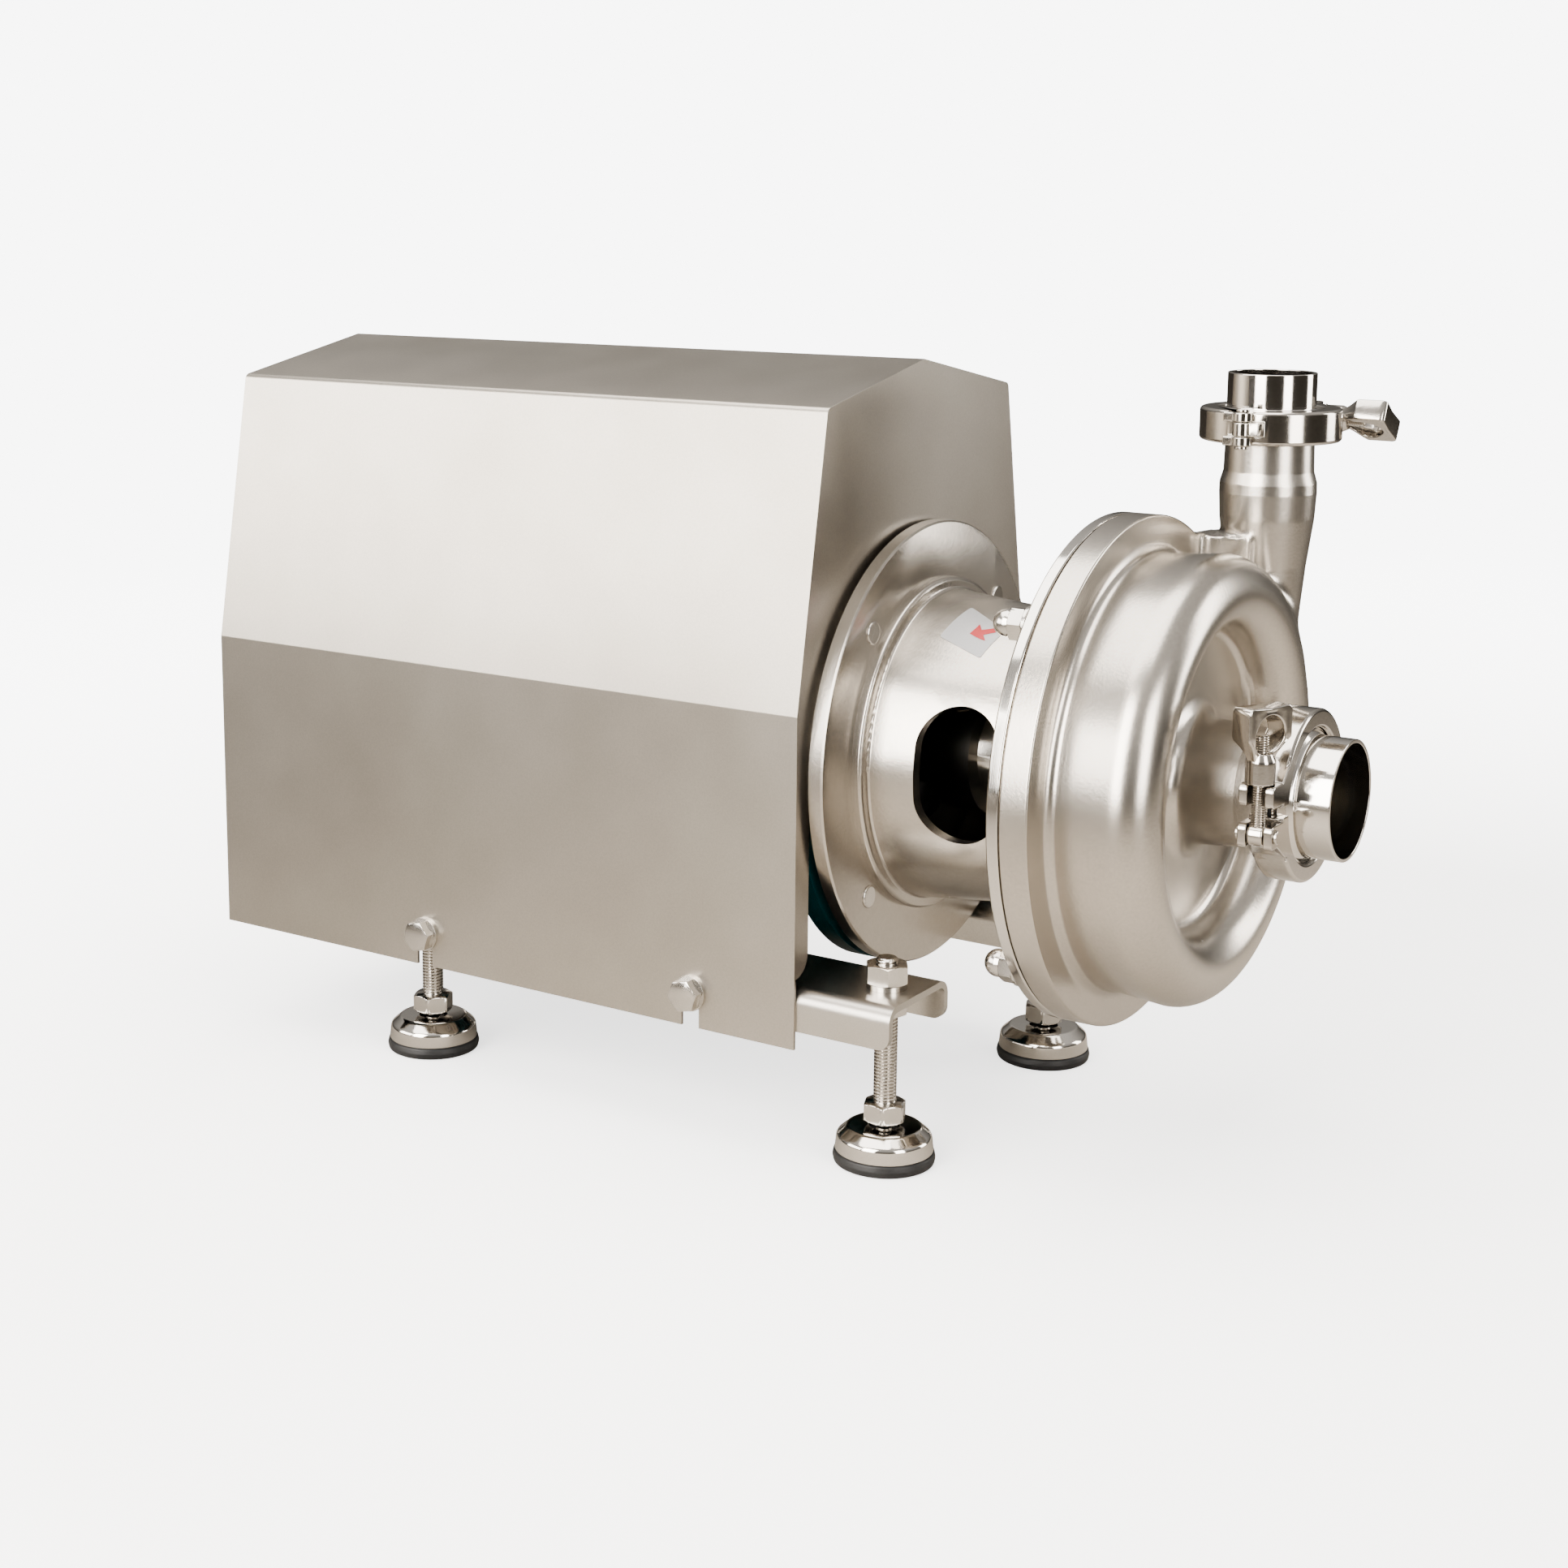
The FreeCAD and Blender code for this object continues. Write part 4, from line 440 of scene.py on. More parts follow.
def makeFinish(name, notes):
    made = bpy.data.materials.new(name)
    made.use_nodes = True
    tree = made.node_tree
    shader = tree.nodes["Principled BSDF"]
    shader.inputs["Metallic"].default_value = notes["metal"]
    shader.inputs["Coat Weight"].default_value = notes["coat"]
    where = addNode(tree, "ShaderNodeTexCoord", (-1100, 0)).outputs["Object"]
    skin = addNode(tree, "ShaderNodeGroup", (-600, 0), node_tree=metalSkin)
    tree.links.new(where, skin.inputs["Vector"])
    skin.inputs["Colour"].default_value = (*notes["colour"], 1)
    skin.inputs["Stain"].default_value = (*notes["stain"], 1)
    for label, key in (("Cloud", "cloud"), ("Amount", "amount"), ("Roughness", "rough"), ("Spread", "spread"),
                       ("Grain", "grain")):
        skin.inputs[label].default_value = notes[key]
    tree.links.new(skin.outputs["Colour"], shader.inputs["Base Color"])
    tree.links.new(skin.outputs["Roughness"], shader.inputs["Roughness"])
    bump = addNode(tree, "ShaderNodeBump", (-250, -300), Strength=notes["bump"],
                   Distance=grainHeight * notes["grain"])
    tree.links.new(skin.outputs["Height"], bump.inputs["Height"])
    if notes["lines"] > 0:
        turn = addNode(tree, "ShaderNodeMapping", (-900, -300), Rotation=(0, quarterTurn * notes["round"], 0))
        tree.links.new(where, turn.inputs["Vector"])
        lines = addNode(tree, "ShaderNodeGroup", (-700, -300), node_tree=fineLines)
        tree.links.new(turn.outputs[0], lines.inputs["Vector"])
        lines.inputs["Round"].default_value = notes["round"]
        second = addNode(tree, "ShaderNodeBump", (-450, -300), Strength=notes["lines"], Distance=lineHeight)
        tree.links.new(lines.outputs["Height"], second.inputs["Height"])
        tree.links.new(second.outputs["Normal"], bump.inputs["Normal"])
    tree.links.new(bump.outputs["Normal"], shader.inputs["Normal"])
    return made


# what all metals share, and what all coats share
metalNotes = {"metal": 1.0, "coat": 0.0}
coatNotes = {"metal": 0.0, "cloud": 25.0, "amount": 0.6, "spread": 0.05, "lines": 0.0}
finishes = {name: makeFinish(name, {**metalNotes, **notes}) for name, notes in steels.items()}
finishes.update({name: makeFinish(name, {**coatNotes, **notes}) for name, notes in coats.items()})
print("finishes built:", len(finishes))


# The casing: a bowl, a web and a riser that flow into each other as one casting

casing = {
    "backX": -104.1, "frontX": -91.4, "flangeR": 110.0, "pilotR": 107.4, "wallR": 93.5, "wall": 4.6,
    "crownX": -63.0, "crownR": 80.5, "crownRound": 15.5, "floorX": -68.5, "hubR": 27.6,
    "mouthX": -23.1, "neckR": 25.4, "mouthBore": 23.75, "mouthRim": 32.0,
    "riserSpot": (-68.7, 76.0), "riserTop": 142.9, "riserTube": 19.05, "riserRim": 25.25,
    # height and radius, from inside the bowl up to the port's rim
    "riserOuter": [(20.0, 14.6), (60.0, 15.6), (82.0, 17.6), (103.0, 20.3), (114.4, 20.9), (118.8, 20.8), (123.8, 19.4)],
    "riserRounds": [0, 30, 30, 30, 2.2, 2.0, 3.0],
    "riserBore": [(142.9, 17.4), (123.5, 17.4), (118.0, 18.7), (114.0, 18.7), (60.0, 13.9), (20.0, 12.9)],
    "webLow": (-94.4, 56.2, 10.0), "webHigh": (-68.7, 76.0, 95.5), "webRound": 0.8,
    "webBlend": 4.0, "bowlBlend": 6.0,
}


# half circle of the crown: centre + radius x (cos, sin), from the top of the section to its bottom
def crownArc(radius, start, end, steps):
    a = np.radians(np.linspace(start, end, steps))
    return np.stack([casing["crownX"] + radius * np.cos(a), casing["crownR"] + radius * np.sin(a)], 1)


# points put into a line wherever two neighbours stand further apart than the step
def refined(line, step):
    line = np.asarray(line, float)
    out = []
    for a, b in zip(line[:-1], line[1:]):
        cuts = max(1, int(np.ceil(np.linalg.norm(b - a) / step)))
        out.append(a + (b - a) * np.arange(cuts)[:, None] / cuts)
    return np.concatenate(out + [line[-1:]])


def ferruleEnd(mouth, tube, rim, side):
    # the rim's back slopes at 20 degrees; side is +1 where the mouth lies at the larger number
    lip = tube + 2.0
    back = mouth - side * (2.85 + (rim - lip) * math.tan(math.radians(20)))
    return [(back - side * 1.9, tube), (back, lip), (mouth - side * 2.85, rim), (mouth, rim)], [1.2, 0.8, 0.5, 0.45]


def bowlOutline():
    c = casing
    ends, rounds = ferruleEnd(c["mouthX"], c["neckR"], c["mouthRim"], 1)
    pilotX = c["backX"] + 0.7
    flange = [(c["backX"], c["pilotR"]), (pilotX, c["pilotR"]), (pilotX, c["flangeR"]), (c["frontX"], c["flangeR"]),
              (c["frontX"], c["wallR"]), (c["crownX"], c["crownR"] + c["crownRound"])]
    first = roundedPath(flange, [0, 0, 0.5, 0.9, 4.5, 0], 6, False)
    crown = crownArc(c["crownRound"], 90, -90, 28)[1:]
    neck = [tuple(crown[-1]), (c["floorX"], c["crownR"] - c["crownRound"]), (c["floorX"], c["hubR"]),
            (-52.0, 26.2), (-40.0, c["neckR"])] + ends + [(c["mouthX"], c["mouthBore"])]
    dish = roundedPath(neck, [0, 4.0, 8.0, 8.0, 6.0] + rounds + [0], 6, False)[1:]
    return refined(np.concatenate([first, crown, dish]), 2.6)


def bowlInline():
    c = casing
    small = c["crownRound"] - c["wall"]
    floorX = c["floorX"] - c["wall"]
    bore = roundedPath([(c["mouthX"], c["mouthBore"]), (floorX, c["mouthBore"]), (floorX, c["crownR"] - small),
                        (c["crownX"], c["crownR"] - small)], [0, 4.0, 3.0, 0], 5, False)[1:]
    return np.concatenate([bore, crownArc(small, -90, 90, 14)[1:], [(c["backX"], c["wallR"] - c["wall"])]])


def riserOutline():
    ends, rounds = ferruleEnd(casing["riserTop"], casing["riserTube"], casing["riserRim"], 1)
    line = casing["riserOuter"] + ends + [casing["riserBore"][0]]
    return refined(roundedPath(line, casing["riserRounds"] + rounds + [0], 6, False), 1.3)


# signed distance to a closed outline: the nearest of its edges, negative inside by counting crossings
def outlineDistance(q, outline):
    a = outline
    b = np.roll(outline, -1, axis=0)
    ab = b - a
    best = np.full(len(q), np.inf)
    inside = np.zeros(len(q), bool)
    for k in range(len(a)):
        aq = q - a[k]
        t = np.clip((aq @ ab[k]) / max(ab[k] @ ab[k], 1e-12), 0, 1)
        best = np.minimum(best, np.linalg.norm(aq - t[:, None] * ab[k], axis=1))
        crosses = (a[k, 1] > q[:, 1]) != (b[k, 1] > q[:, 1])
        if abs(ab[k, 1]) > 1e-12:
            inside ^= crosses & (q[:, 0] < a[k, 0] + (q[:, 1] - a[k, 1]) * ab[k, 0] / ab[k, 1])
    return np.where(inside, -best, best)


bowlSection = np.concatenate([bowlOutline()[::2], [(casing["mouthX"], 0.0), (casing["backX"], 0.0)]])
riserSection = np.concatenate([riserOutline()[::2], [(casing["riserTop"], 0.0), (20.0, 0.0)]])


def bowlDistance(p):
    return outlineDistance(np.stack([p[:, 0], np.hypot(p[:, 1], p[:, 2])], 1), bowlSection)


def riserDistance(p):
    away = np.hypot(p[:, 0] - casing["riserSpot"][0], p[:, 1] - casing["riserSpot"][1])
    return outlineDistance(np.stack([p[:, 2], away], 1), riserSection)


# a rounded block whose flame-cut top wanders a little
def webDistance(p):
    low, high, radius = np.array(casing["webLow"]), np.array(casing["webHigh"]), casing["webRound"]
    q = p.copy()
    q[:, 2] += 0.25 * np.sin(0.5 * p[:, 0] + 0.5) + 0.10 * np.sin(1.7 * p[:, 0] + 0.7 * p[:, 1])
    gap = np.abs(q - (low + high) / 2) - (high - low) / 2 + radius
    return np.linalg.norm(np.maximum(gap, 0), axis=1) + np.minimum(gap.max(1), 0) - radius


# two distances joined with a fillet: the lesser, less a quarter of the blend where they are equal
def softMin(a, b, blend):
    h = np.maximum(blend - np.abs(a - b), 0) / blend
    return np.minimum(a, b) - h * h * blend / 4


def castDistance(p):
    rest = softMin(riserDistance(p), webDistance(p), casing["webBlend"])
    return softMin(bowlDistance(p), rest, casing["bowlBlend"])


# walks points along the slope of the distance, by no more than 3 mm at a time, onto the joined casting
def onCasting(p):
    p = p.copy()
    reach = 0.05
    for walk in range(7):
        value = castDistance(p)
        slope = np.stack([(castDistance(p + step) - castDistance(p - step)) / (2 * reach)
                          for step in np.eye(3) * reach], 1)
        size = np.maximum((slope ** 2).sum(1), 0.25)
        p -= np.clip(value, -3, 3)[:, None] * slope / size[:, None]
    return p


# leaves out the faces whose corners lie deeper in another form than the margin
def ownFaces(faces, deeper, margin):
    return faces[deeper[faces].mean(1) < margin]


# stands for the distance of points that lie clear of the other forms
clear = 50.0


def castBowl():
    # fine steps of angle beside the riser, wider ones elsewhere
    angles = np.radians(np.concatenate([np.arange(-20, 80, 0.55), np.arange(80, 340, 1.6)]))
    outer, inner = bowlOutline(), bowlInline()
    line = np.concatenate([outer, inner])
    y, z = line[:, 1:] * np.cos(angles), line[:, 1:] * np.sin(angles)
    points = np.stack([np.broadcast_to(line[:, :1], y.shape), y, z], 2).reshape(-1, 3)
    faces = gridFaces(len(line), len(angles), True, True)
    isOuter = np.repeat(np.arange(len(line)) < len(outer), len(angles))
    rest = np.full(len(points), clear)
    close = np.nonzero(isOuter & (points[:, 1] > 20) & (points[:, 2] > -25) & (points[:, 0] < -40))[0]
    rest[close] = np.minimum(riserDistance(points[close]), webDistance(points[close]))
    move = np.nonzero(rest < casing["bowlBlend"])[0]
    points[move] = onCasting(points[move])
    deeper = np.full(len(points), -clear)
    deeper[move] = bowlDistance(points[move]) - np.minimum(riserDistance(points[move]), webDistance(points[move]))
    points, faces = outward((points, faces))
    return points, ownFaces(faces, deeper, 0.15)


def castRiser():
    # turned about the upright axis, with its foot flared onto the bowl
    outer, inner, count = riserOutline(), np.array(casing["riserBore"]), 128
    points, faces = turned(np.concatenate([outer, inner]), (*casing["riserSpot"], 0), (0, 0, 1), count)
    move = np.nonzero((np.arange(len(points)) < len(outer) * count) & (points[:, 2] < 112))[0]
    points[move] = onCasting(points[move])
    deeper = np.full(len(points), -clear)
    deeper[move] = riserDistance(points[move]) - np.minimum(bowlDistance(points[move]), webDistance(points[move]))
    return points, ownFaces(faces, deeper, 0.8)


def castWeb():
    # the plan outline carried up, then drawn in over the top
    low, high, rounding = casing["webLow"], casing["webHigh"], casing["webRound"]
    plan = refined(roundedPath([low[:2], (high[0], low[1]), high[:2], (low[0], high[1])], 1.0, 4), 0.9)
    middle = plan.mean(0)
    rise = np.concatenate([np.linspace(low[2], high[2] - rounding, 88), np.full(12, high[2] - 0.1)])
    shrink = np.concatenate([np.ones(88), np.linspace(0.97, 0.0, 12)])
    flat = middle + shrink[:, None, None] * (plan - middle)
    points = np.concatenate([flat, np.broadcast_to(rise[:, None, None], flat.shape[:2] + (1,))], 2).reshape(-1, 3)
    points, faces = outward((onCasting(points), gridFaces(len(rise), len(plan), False, True)))
    deeper = webDistance(points) - np.minimum(bowlDistance(points), riserDistance(points))
    return points, ownFaces(faces, deeper, 0.8)


def buildCasing():
    points, faces = joinParts([castBowl(), castRiser(), castWeb()])
    addPiece("casing_surface", makeMesh("casing_surface", points, faces), "root", "cast_steel",
             ["casing", "inlet_neck", "outlet_riser"], 34.0)


buildCasing()
print("casing, web and riser shaped")


# Port tubes, turned from one closed profile each

ports = {
    "inlet": {"spot": (-22.3, 0.0, 0.0), "axis": (1, 0, 0), "tube": 25.4, "rim": 32.0},
    "outlet": {"spot": (-68.7, 76.0, 144.5), "axis": (0, 0, 1), "tube": 19.05, "rim": 25.25},
}
# half of the gap at the joint, the length of a tube beyond it and the tube's wall
joint = {"half": 0.8, "length": 21.5, "wall": 1.65}


def buildFerrules():
    for name, port in ports.items():
        tube, bore, start = port["tube"], port["tube"] - joint["wall"], joint["half"]
        ends, rounds = ferruleEnd(-start, tube, port["rim"], 1)
        ends = [(-z, r) for z, r in ends[::-1]]
        line = [(start, bore)] + ends + [(start + joint["length"], tube), (start + joint["length"], bore)]
        profile = roundedPath(line, [0.2] + rounds[::-1] + [0.35, 0.25], 4)
        replaceNode(name + "_ferrule", [turned(profile, port["spot"], port["axis"], 128)], 40.0)


buildFerrules()


# Levelling feet: rubber pad, polished cap, hexagon and threaded rod

foot = {
    "front": -169.7, "rear": -420.8, "near": -78.3, "far": 78.3, "floorZ": -167.6,
    "rodRadius": 5.0, "pitch": 1.5, "hexFlats": 17.0, "hexRise": 11.0, "threadRise": 6.0,
}
footSpots = [(row + "_" + side, foot[row], foot[side]) for row in ("front", "rear") for side in ("near", "far")]
upward = (0, 0, 1)


def buildFeet():
    pad = roundedPath([(0.0, 0.0), (0.0, 21.6), (2.6, 22.2), (5.3, 21.6), (5.3, 18.5), (6.5, 18.5), (6.5, 0.0)],
                      [0, 1.0, 2.0, 0.9, 0.3, 0.4, 0], 4)
    for place, x, y in footSpots:
        replaceNode("foot_pad_" + place, [turned(pad, (x, y, foot["floorZ"]), upward, 96)])
        low, high = (corner[2] for corner in boxOf("foot_cap_" + place))
        tall = high - low
        cap = roundedPath([(0.0, 18.9), (0.0, 21.3), (tall * 0.62, 20.6), (tall - 0.1, 16.0), (tall, 6.6),
                           (tall - 2.0, 6.6), (tall - 2.4, 15.4), (tall * 0.5, 18.9)],
                          [0.3, 0.5, 3.0, 2.2, 0.5, 0.4, 1.6, 1.0], 5)
        replaceNode("foot_cap_" + place, [turned(cap, (x, y, low), upward, 96)], 40.0)


# ball and neck below the hexagon, then the thread
def buildRods():
    ball = np.radians(np.linspace(-90, 48, 16))
    neck = roundedPath([(8.5, 3.4), (11.8, 3.4), (11.8, 5.0), (14.0, 5.0), (14.0, 0.0)], [0, 0.6, 0.2, 0, 0], 4, False)
    stem = np.concatenate([np.stack([4.5 + 4.5 * np.sin(ball), 4.5 * np.cos(ball)], 1), neck])
    for place, x, y in footSpots:
        node = "foot_rod_" + place
        bottom, top = (corner[2] for corner in boxOf(node))
        hexLow = bottom + foot["hexRise"]
        start = hexLow + foot["threadRise"]
        parts = [turned(stem, (x, y, bottom), upward, 48, False),
                 hexNut(foot["hexFlats"], 8.9, 1.0, (x, y, hexLow), upward, 8.0),
                 threadedRod(foot["rodRadius"], foot["pitch"], (x, y, start), upward, top - start)]
        replaceNode(node, parts, 40.0)


buildFeet()
buildRods()
print("feet shaped")


# Acorn nuts with washers behind the back plate: a chamfered hexagon, a neck and a dome

studs = {"circle": 101.5, "backX": -109.6, "washer": 1.6, "flats": 13.0}


def buildDomeNuts():
    parts, thick, backward = [], studs["washer"], (-1, 0, 0)
    washer = roundedPath([(0, 4.1), (0, 8.0), (thick, 8.0), (thick, 4.1)], 0.25, 3)
    a = np.radians(np.linspace(0, 90, 12))
    dome = np.concatenate([[(6.2, 0.0), (6.2, 5.6), (7.6, 5.5), (8.4, 5.9), (9.2, 5.9)],
                           np.stack([9.4 + 5.9 * np.sin(a), 5.9 * np.cos(a)], 1)])
    for degrees in (45, 135, 225, 315):
        y, z = studs["circle"] * math.cos(math.radians(degrees)), studs["circle"] * math.sin(math.radians(degrees))
        seat = (studs["backX"] - thick, y, z)
        parts.append(turned(washer, (studs["backX"], y, z), backward, 64))
        parts.append(hexNut(studs["flats"], 7.0, 3.0, seat, backward, degrees + 8.0, 0.95))
        parts.append(turned(dome, seat, backward, 48, False))
    replaceNode("dome_nuts", parts, 35.0)


buildDomeNuts()


# Direction arrow on the adapter: a white label and a red arrow, both lying on the cone

label = {
    "corners": ((21.3, -37.8, 55.3), (43.1, -43.8, 50.7), (47.0, -28.2, 60.8), (24.7, -15.4, 65.2)),
    "shiftX": -190.3, "rootX": -184.3, "rootR": 69.5, "noseX": -115.6, "noseR": 62.5,
}


# radius of the adapter's cone at a station
def coneRadius(x):
    return np.interp(x, [label["rootX"], label["noseX"]], [label["rootR"], label["noseR"]])


# four corners blended over (u, v), then pushed out to the cone and raised by the lift
def onCone(u, v, lift):
    c = np.array(label["corners"]) + (label["shiftX"], 0, 0)
    shares = ((1 - u) * (1 - v), u * (1 - v), u * v, (1 - u) * v)
    flat = sum(share[..., None] * corner for share, corner in zip(shares, c))
    size = np.hypot(flat[..., 1], flat[..., 2])
    r = coneRadius(flat[..., 0]) + lift
    return np.stack([flat[..., 0], flat[..., 1] / size * r, flat[..., 2] / size * r], -1)


def buildLabel():
    edge = roundedPath([(0.0, 0.0), (1.0, 0.0), (1.0, 1.0), (0.0, 1.0)], 0.06, 5)
    edge = refined(np.concatenate([edge, edge[:1]]), 0.08)[:-1]
    shrink = np.linspace(1, 0, 14)[:, None, None]
    uv = 0.5 + shrink * (edge - 0.5)
    top = onCone(uv[..., 0], uv[..., 1], 0.16)
    skirt = onCone(edge[None, :, 0], edge[None, :, 1], 0.0)
    points = np.concatenate([skirt, top]).reshape(-1, 3)
    mesh = makeMesh("label", points, outward((points, gridFaces(15, len(edge), False, True)))[1])
    addPiece("label", mesh, "root", "cast_steel", (), 40.0, finishes["label_white"])


# the arrow's middle line bends from the tail to the tip, and its half width is given along it
def buildArrow():
    t = np.array([0.0, 0.2, 0.4, 0.54, 0.55, 0.7, 0.85, 1.0])
    half = np.array([0.055, 0.06, 0.065, 0.07, 0.23, 0.153, 0.077, 0.0])
    across = np.linspace(-1, 1, 9)
    midU = 0.90 - 0.42 * t
    midV = 0.96 - 0.56 * t - 0.06 * np.sin(math.pi * t)
    dirU, dirV = np.full(8, -0.42), -0.56 - 0.06 * math.pi * np.cos(math.pi * t)
    size = np.hypot(dirU, dirV)
    u = midU[:, None] - (dirV / size * half)[:, None] * across
    v = midV[:, None] + (dirU / size * half)[:, None] * across
    top = onCone(u, v, 0.30)
    points = top.reshape(-1, 3)
    faces = gridFaces(8, 9)
    a, b, c = (points[faces[:, k]] for k in (0, 1, 2))
    if np.einsum("ij,ij->i", np.cross(b - a, c - a), a * (0, 1, 1)).sum() < 0:
        faces = faces[:, ::-1]
    mesh = makeMesh("label_arrow", points, faces)
    addPiece("label_arrow", mesh, "root", "cast_steel", (), 40.0, finishes["label_red"])


buildLabel()
buildArrow()
print("nuts and label shaped")


# Ends of the four flange bolts, standing a little proud of the adapter's face

flangeBolts = {"circle": 82.5, "faceX": -190.4, "radius": 5.0}


def buildBoltEnds():
    radius = flangeBolts["radius"]
    end = roundedPath([(-0.5, radius), (0.75, radius), (0.9, 0.0)], [0, 0.5, 0], 4, False)
    spots = flangeBolts["circle"] * math.sqrt(0.5) * np.array([(1, 1), (1, -1), (-1, -1), (-1, 1)])
    points, faces = joinParts([turned(end, (flangeBolts["faceX"], y, z), (1, 0, 0), 40, False) for y, z in spots])
    addPiece("flange_bolt_ends", makeMesh("flange_bolt_ends", points, faces), "root", "fastener", (), 40.0)


buildBoltEnds()


# Clamp hardware, in the clamp's own directions: along the bolt, outward, and along the port

clamps = {
    "inlet": {"bolt": (0, 0, 1), "out": (0, -1, 0), "port": (1, 0, 0), "line": 43.6, "seat": 13.0, "turnDeg": 22.0},
    "outlet": {"bolt": (1, 0, 0), "out": (0, 1, 0), "port": (0, 0, 1), "line": 37.8, "seat": 9.5, "turnDeg": 28.0},
}
wing = {
    "half": 12.05, "length": 32.0, "thick": 4.9, "holeRadius": 8.1, "holeRise": 20.2,
    "neck": 8.0, "neckHalf": 5.4, "flare": 1.7, "barrel": 6.0, "edge": 0.8,
}
swing = {"radius": 3.0, "pitch": 1.0, "pinBack": 8.0, "threadBack": 5.0, "past": 25.0}


# (along, outward, port) numbers become places in space
def inClamp(name, points):
    clamp = clamps[name]
    axes = np.array([clamp["bolt"], clamp["out"], clamp["port"]], float)
    return np.asarray(ports[name]["spot"], float) + np.asarray(points, float) @ axes


# half width of the wing: narrow at the neck, growing with a power of the height up to the shoulder
def wingOutline():
    s = np.linspace(0, 1, 12)
    neck, shoulder, top = wing["neck"], wing["holeRise"] - 1.5, wing["length"]
    half, narrow = wing["half"], wing["neckHalf"]
    flank = np.stack([neck + (shoulder - neck) * s, narrow + (half - narrow) * s ** wing["flare"]], 1)
    crown = roundedPath([(shoulder, half), (top, half), (top - 0.7, 0.0)], [0, 2.2, 0], 5, False)[1:]
    side = np.concatenate([flank, crown])
    return refined(np.concatenate([side, side[::-1][1:] * (1, -1)]), 1.0)


# plate round a hole: each section is a closed loop from the hole's edge over the face to the outer edge and back
def buildWingNut(name):
    clamp = clamps[name]
    line = wingOutline()
    line = np.concatenate([line, refined(np.array([line[-1], line[0]]), 1.0)[1:-1]])
    centre = np.array([wing["holeRise"], 0.0])
    away = line - centre
    away /= np.linalg.norm(away, axis=1)[:, None]
    hole = centre + wing["holeRadius"] * away
    t, e = wing["thick"], wing["edge"]
    quarter = np.radians(np.linspace(0, 90, 5))
    inner = [(hole + away * e * (1 - math.cos(a)), t - e + e * math.sin(a)) for a in quarter]
    middle = [((hole + line) / 2, t - 0.35)]
    outer = [(line - away * e * (1 - math.cos(a)), t - e + e * math.sin(a)) for a in quarter[::-1]]
    front = inner + middle + outer
    loop = front + [(p, -h) for p, h in front[::-1]]
    flat = np.stack([np.concatenate([p, np.full((len(p), 1), h)], 1) for p, h in loop])
    a = math.radians(clamp["turnDeg"])
    # thin inside the barrel, full at the hole: s * s * (3 - 2 s)
    s = np.clip((flat[..., 0] - 9) / 11, 0, 1)
    flat[..., 2] *= 0.42 + 0.58 * s * s * (3 - 2 * s)
    x, y, z = flat[..., 0], flat[..., 1], flat[..., 2]
    flat = np.stack([x + clamp["seat"], clamp["line"] + y * math.cos(a) + z * math.sin(a),
                     z * math.cos(a) - y * math.sin(a)], -1)
    plate = outward((inClamp(name, flat.reshape(-1, 3)), gridFaces(len(loop), len(line), True, True)))
    outside = wing["barrel"]
    barrel = roundedPath([(0.0, 3.1), (0.0, outside), (9.5, outside), (12.6, 4.6), (12.6, 3.1)],
                         [0.4, 0.6, 3.0, 0.5, 0], 4)
    start = inClamp(name, [(clamp["seat"], clamp["line"], 0.0)])[0]
    replaceNode(name + "_wing_nut", [plate, turned(barrel, start, clamp["bolt"], 64)], 38.0)


def buildSwingBolt(name):
    clamp = clamps[name]
    eye = roundedPath([(-3.3, 2.1), (-3.3, 4.4), (3.3, 4.4), (3.3, 2.1)], [0.2, 0.9, 0.9, 0.2], 4)
    pin = inClamp(name, [(-swing["pinBack"], clamp["line"], 0.0)])[0]
    start = inClamp(name, [(-swing["threadBack"], clamp["line"], 0.0)])[0]
    length = clamp["seat"] + swing["past"]
    parts = [turned(eye, pin, clamp["port"], 64),
             threadedRod(swing["radius"], swing["pitch"], start, clamp["bolt"], length, 0.7)]
    replaceNode(name + "_swing_bolt", parts, 38.0)


for name in clamps:
    buildWingNut(name)
    buildSwingBolt(name)
print("clamp hardware shaped")


# Clamp halves keep their shape, with rounded edges
for name in clamps:
    for half in ("fixed", "moving"):
        soft = copyNode(name + "_clamp_" + half + "_half", 0.55).modifiers["edges"]
        soft.segments = 3
        soft.use_clamp_overlap = False
print("clamp halves shaped")


# The motor flange shows its paint at the rim only; inside the adapter its face is painted near-black as painted shade

# radius inside which the colour is painted shade and outside which the paint shows, in metres
paintedShadeRadius = 0.078


# the motor paint, with near-black painted shade over the flange's face inside the adapter
def shieldFinishWithPaintedShade():
    made = finishes["motor_paint"].copy()
    made.name = "shield_paint_and_painted_shade"
    tree = made.node_tree
    shader = tree.nodes["Principled BSDF"]
    paint = shader.inputs["Base Color"].links[0].from_socket
    where = addNode(tree, "ShaderNodeTexCoord", (-900, 500)).outputs["Object"]
    flat = addNode(tree, "ShaderNodeVectorMath", (-700, 500), operation="MULTIPLY")
    flat.inputs[1].default_value = (0, 1, 1)
    tree.links.new(where, flat.inputs[0])
    far = addNode(tree, "ShaderNodeVectorMath", (-500, 500), operation="LENGTH")
    tree.links.new(flat.outputs[0], far.inputs[0])
    # mask: 1 where the paint shows, 0 where the painted shade lies
    rim = mathNode(tree, (-300, 500), "GREATER_THAN", far.outputs["Value"], paintedShadeRadius)
    # near-black painted shade inside the radius, the teal paint outside it
    tree.links.new(colourMix(tree, (-100, 500), rim, (0.004, 0.004, 0.004, 1), paint), shader.inputs["Base Color"])
    shader.inputs["Coat Weight"].default_value = 0.0
    shader.inputs["Specular IOR Level"].default_value = 0.2
    return made


# The other solids keep their shape and get softened edges

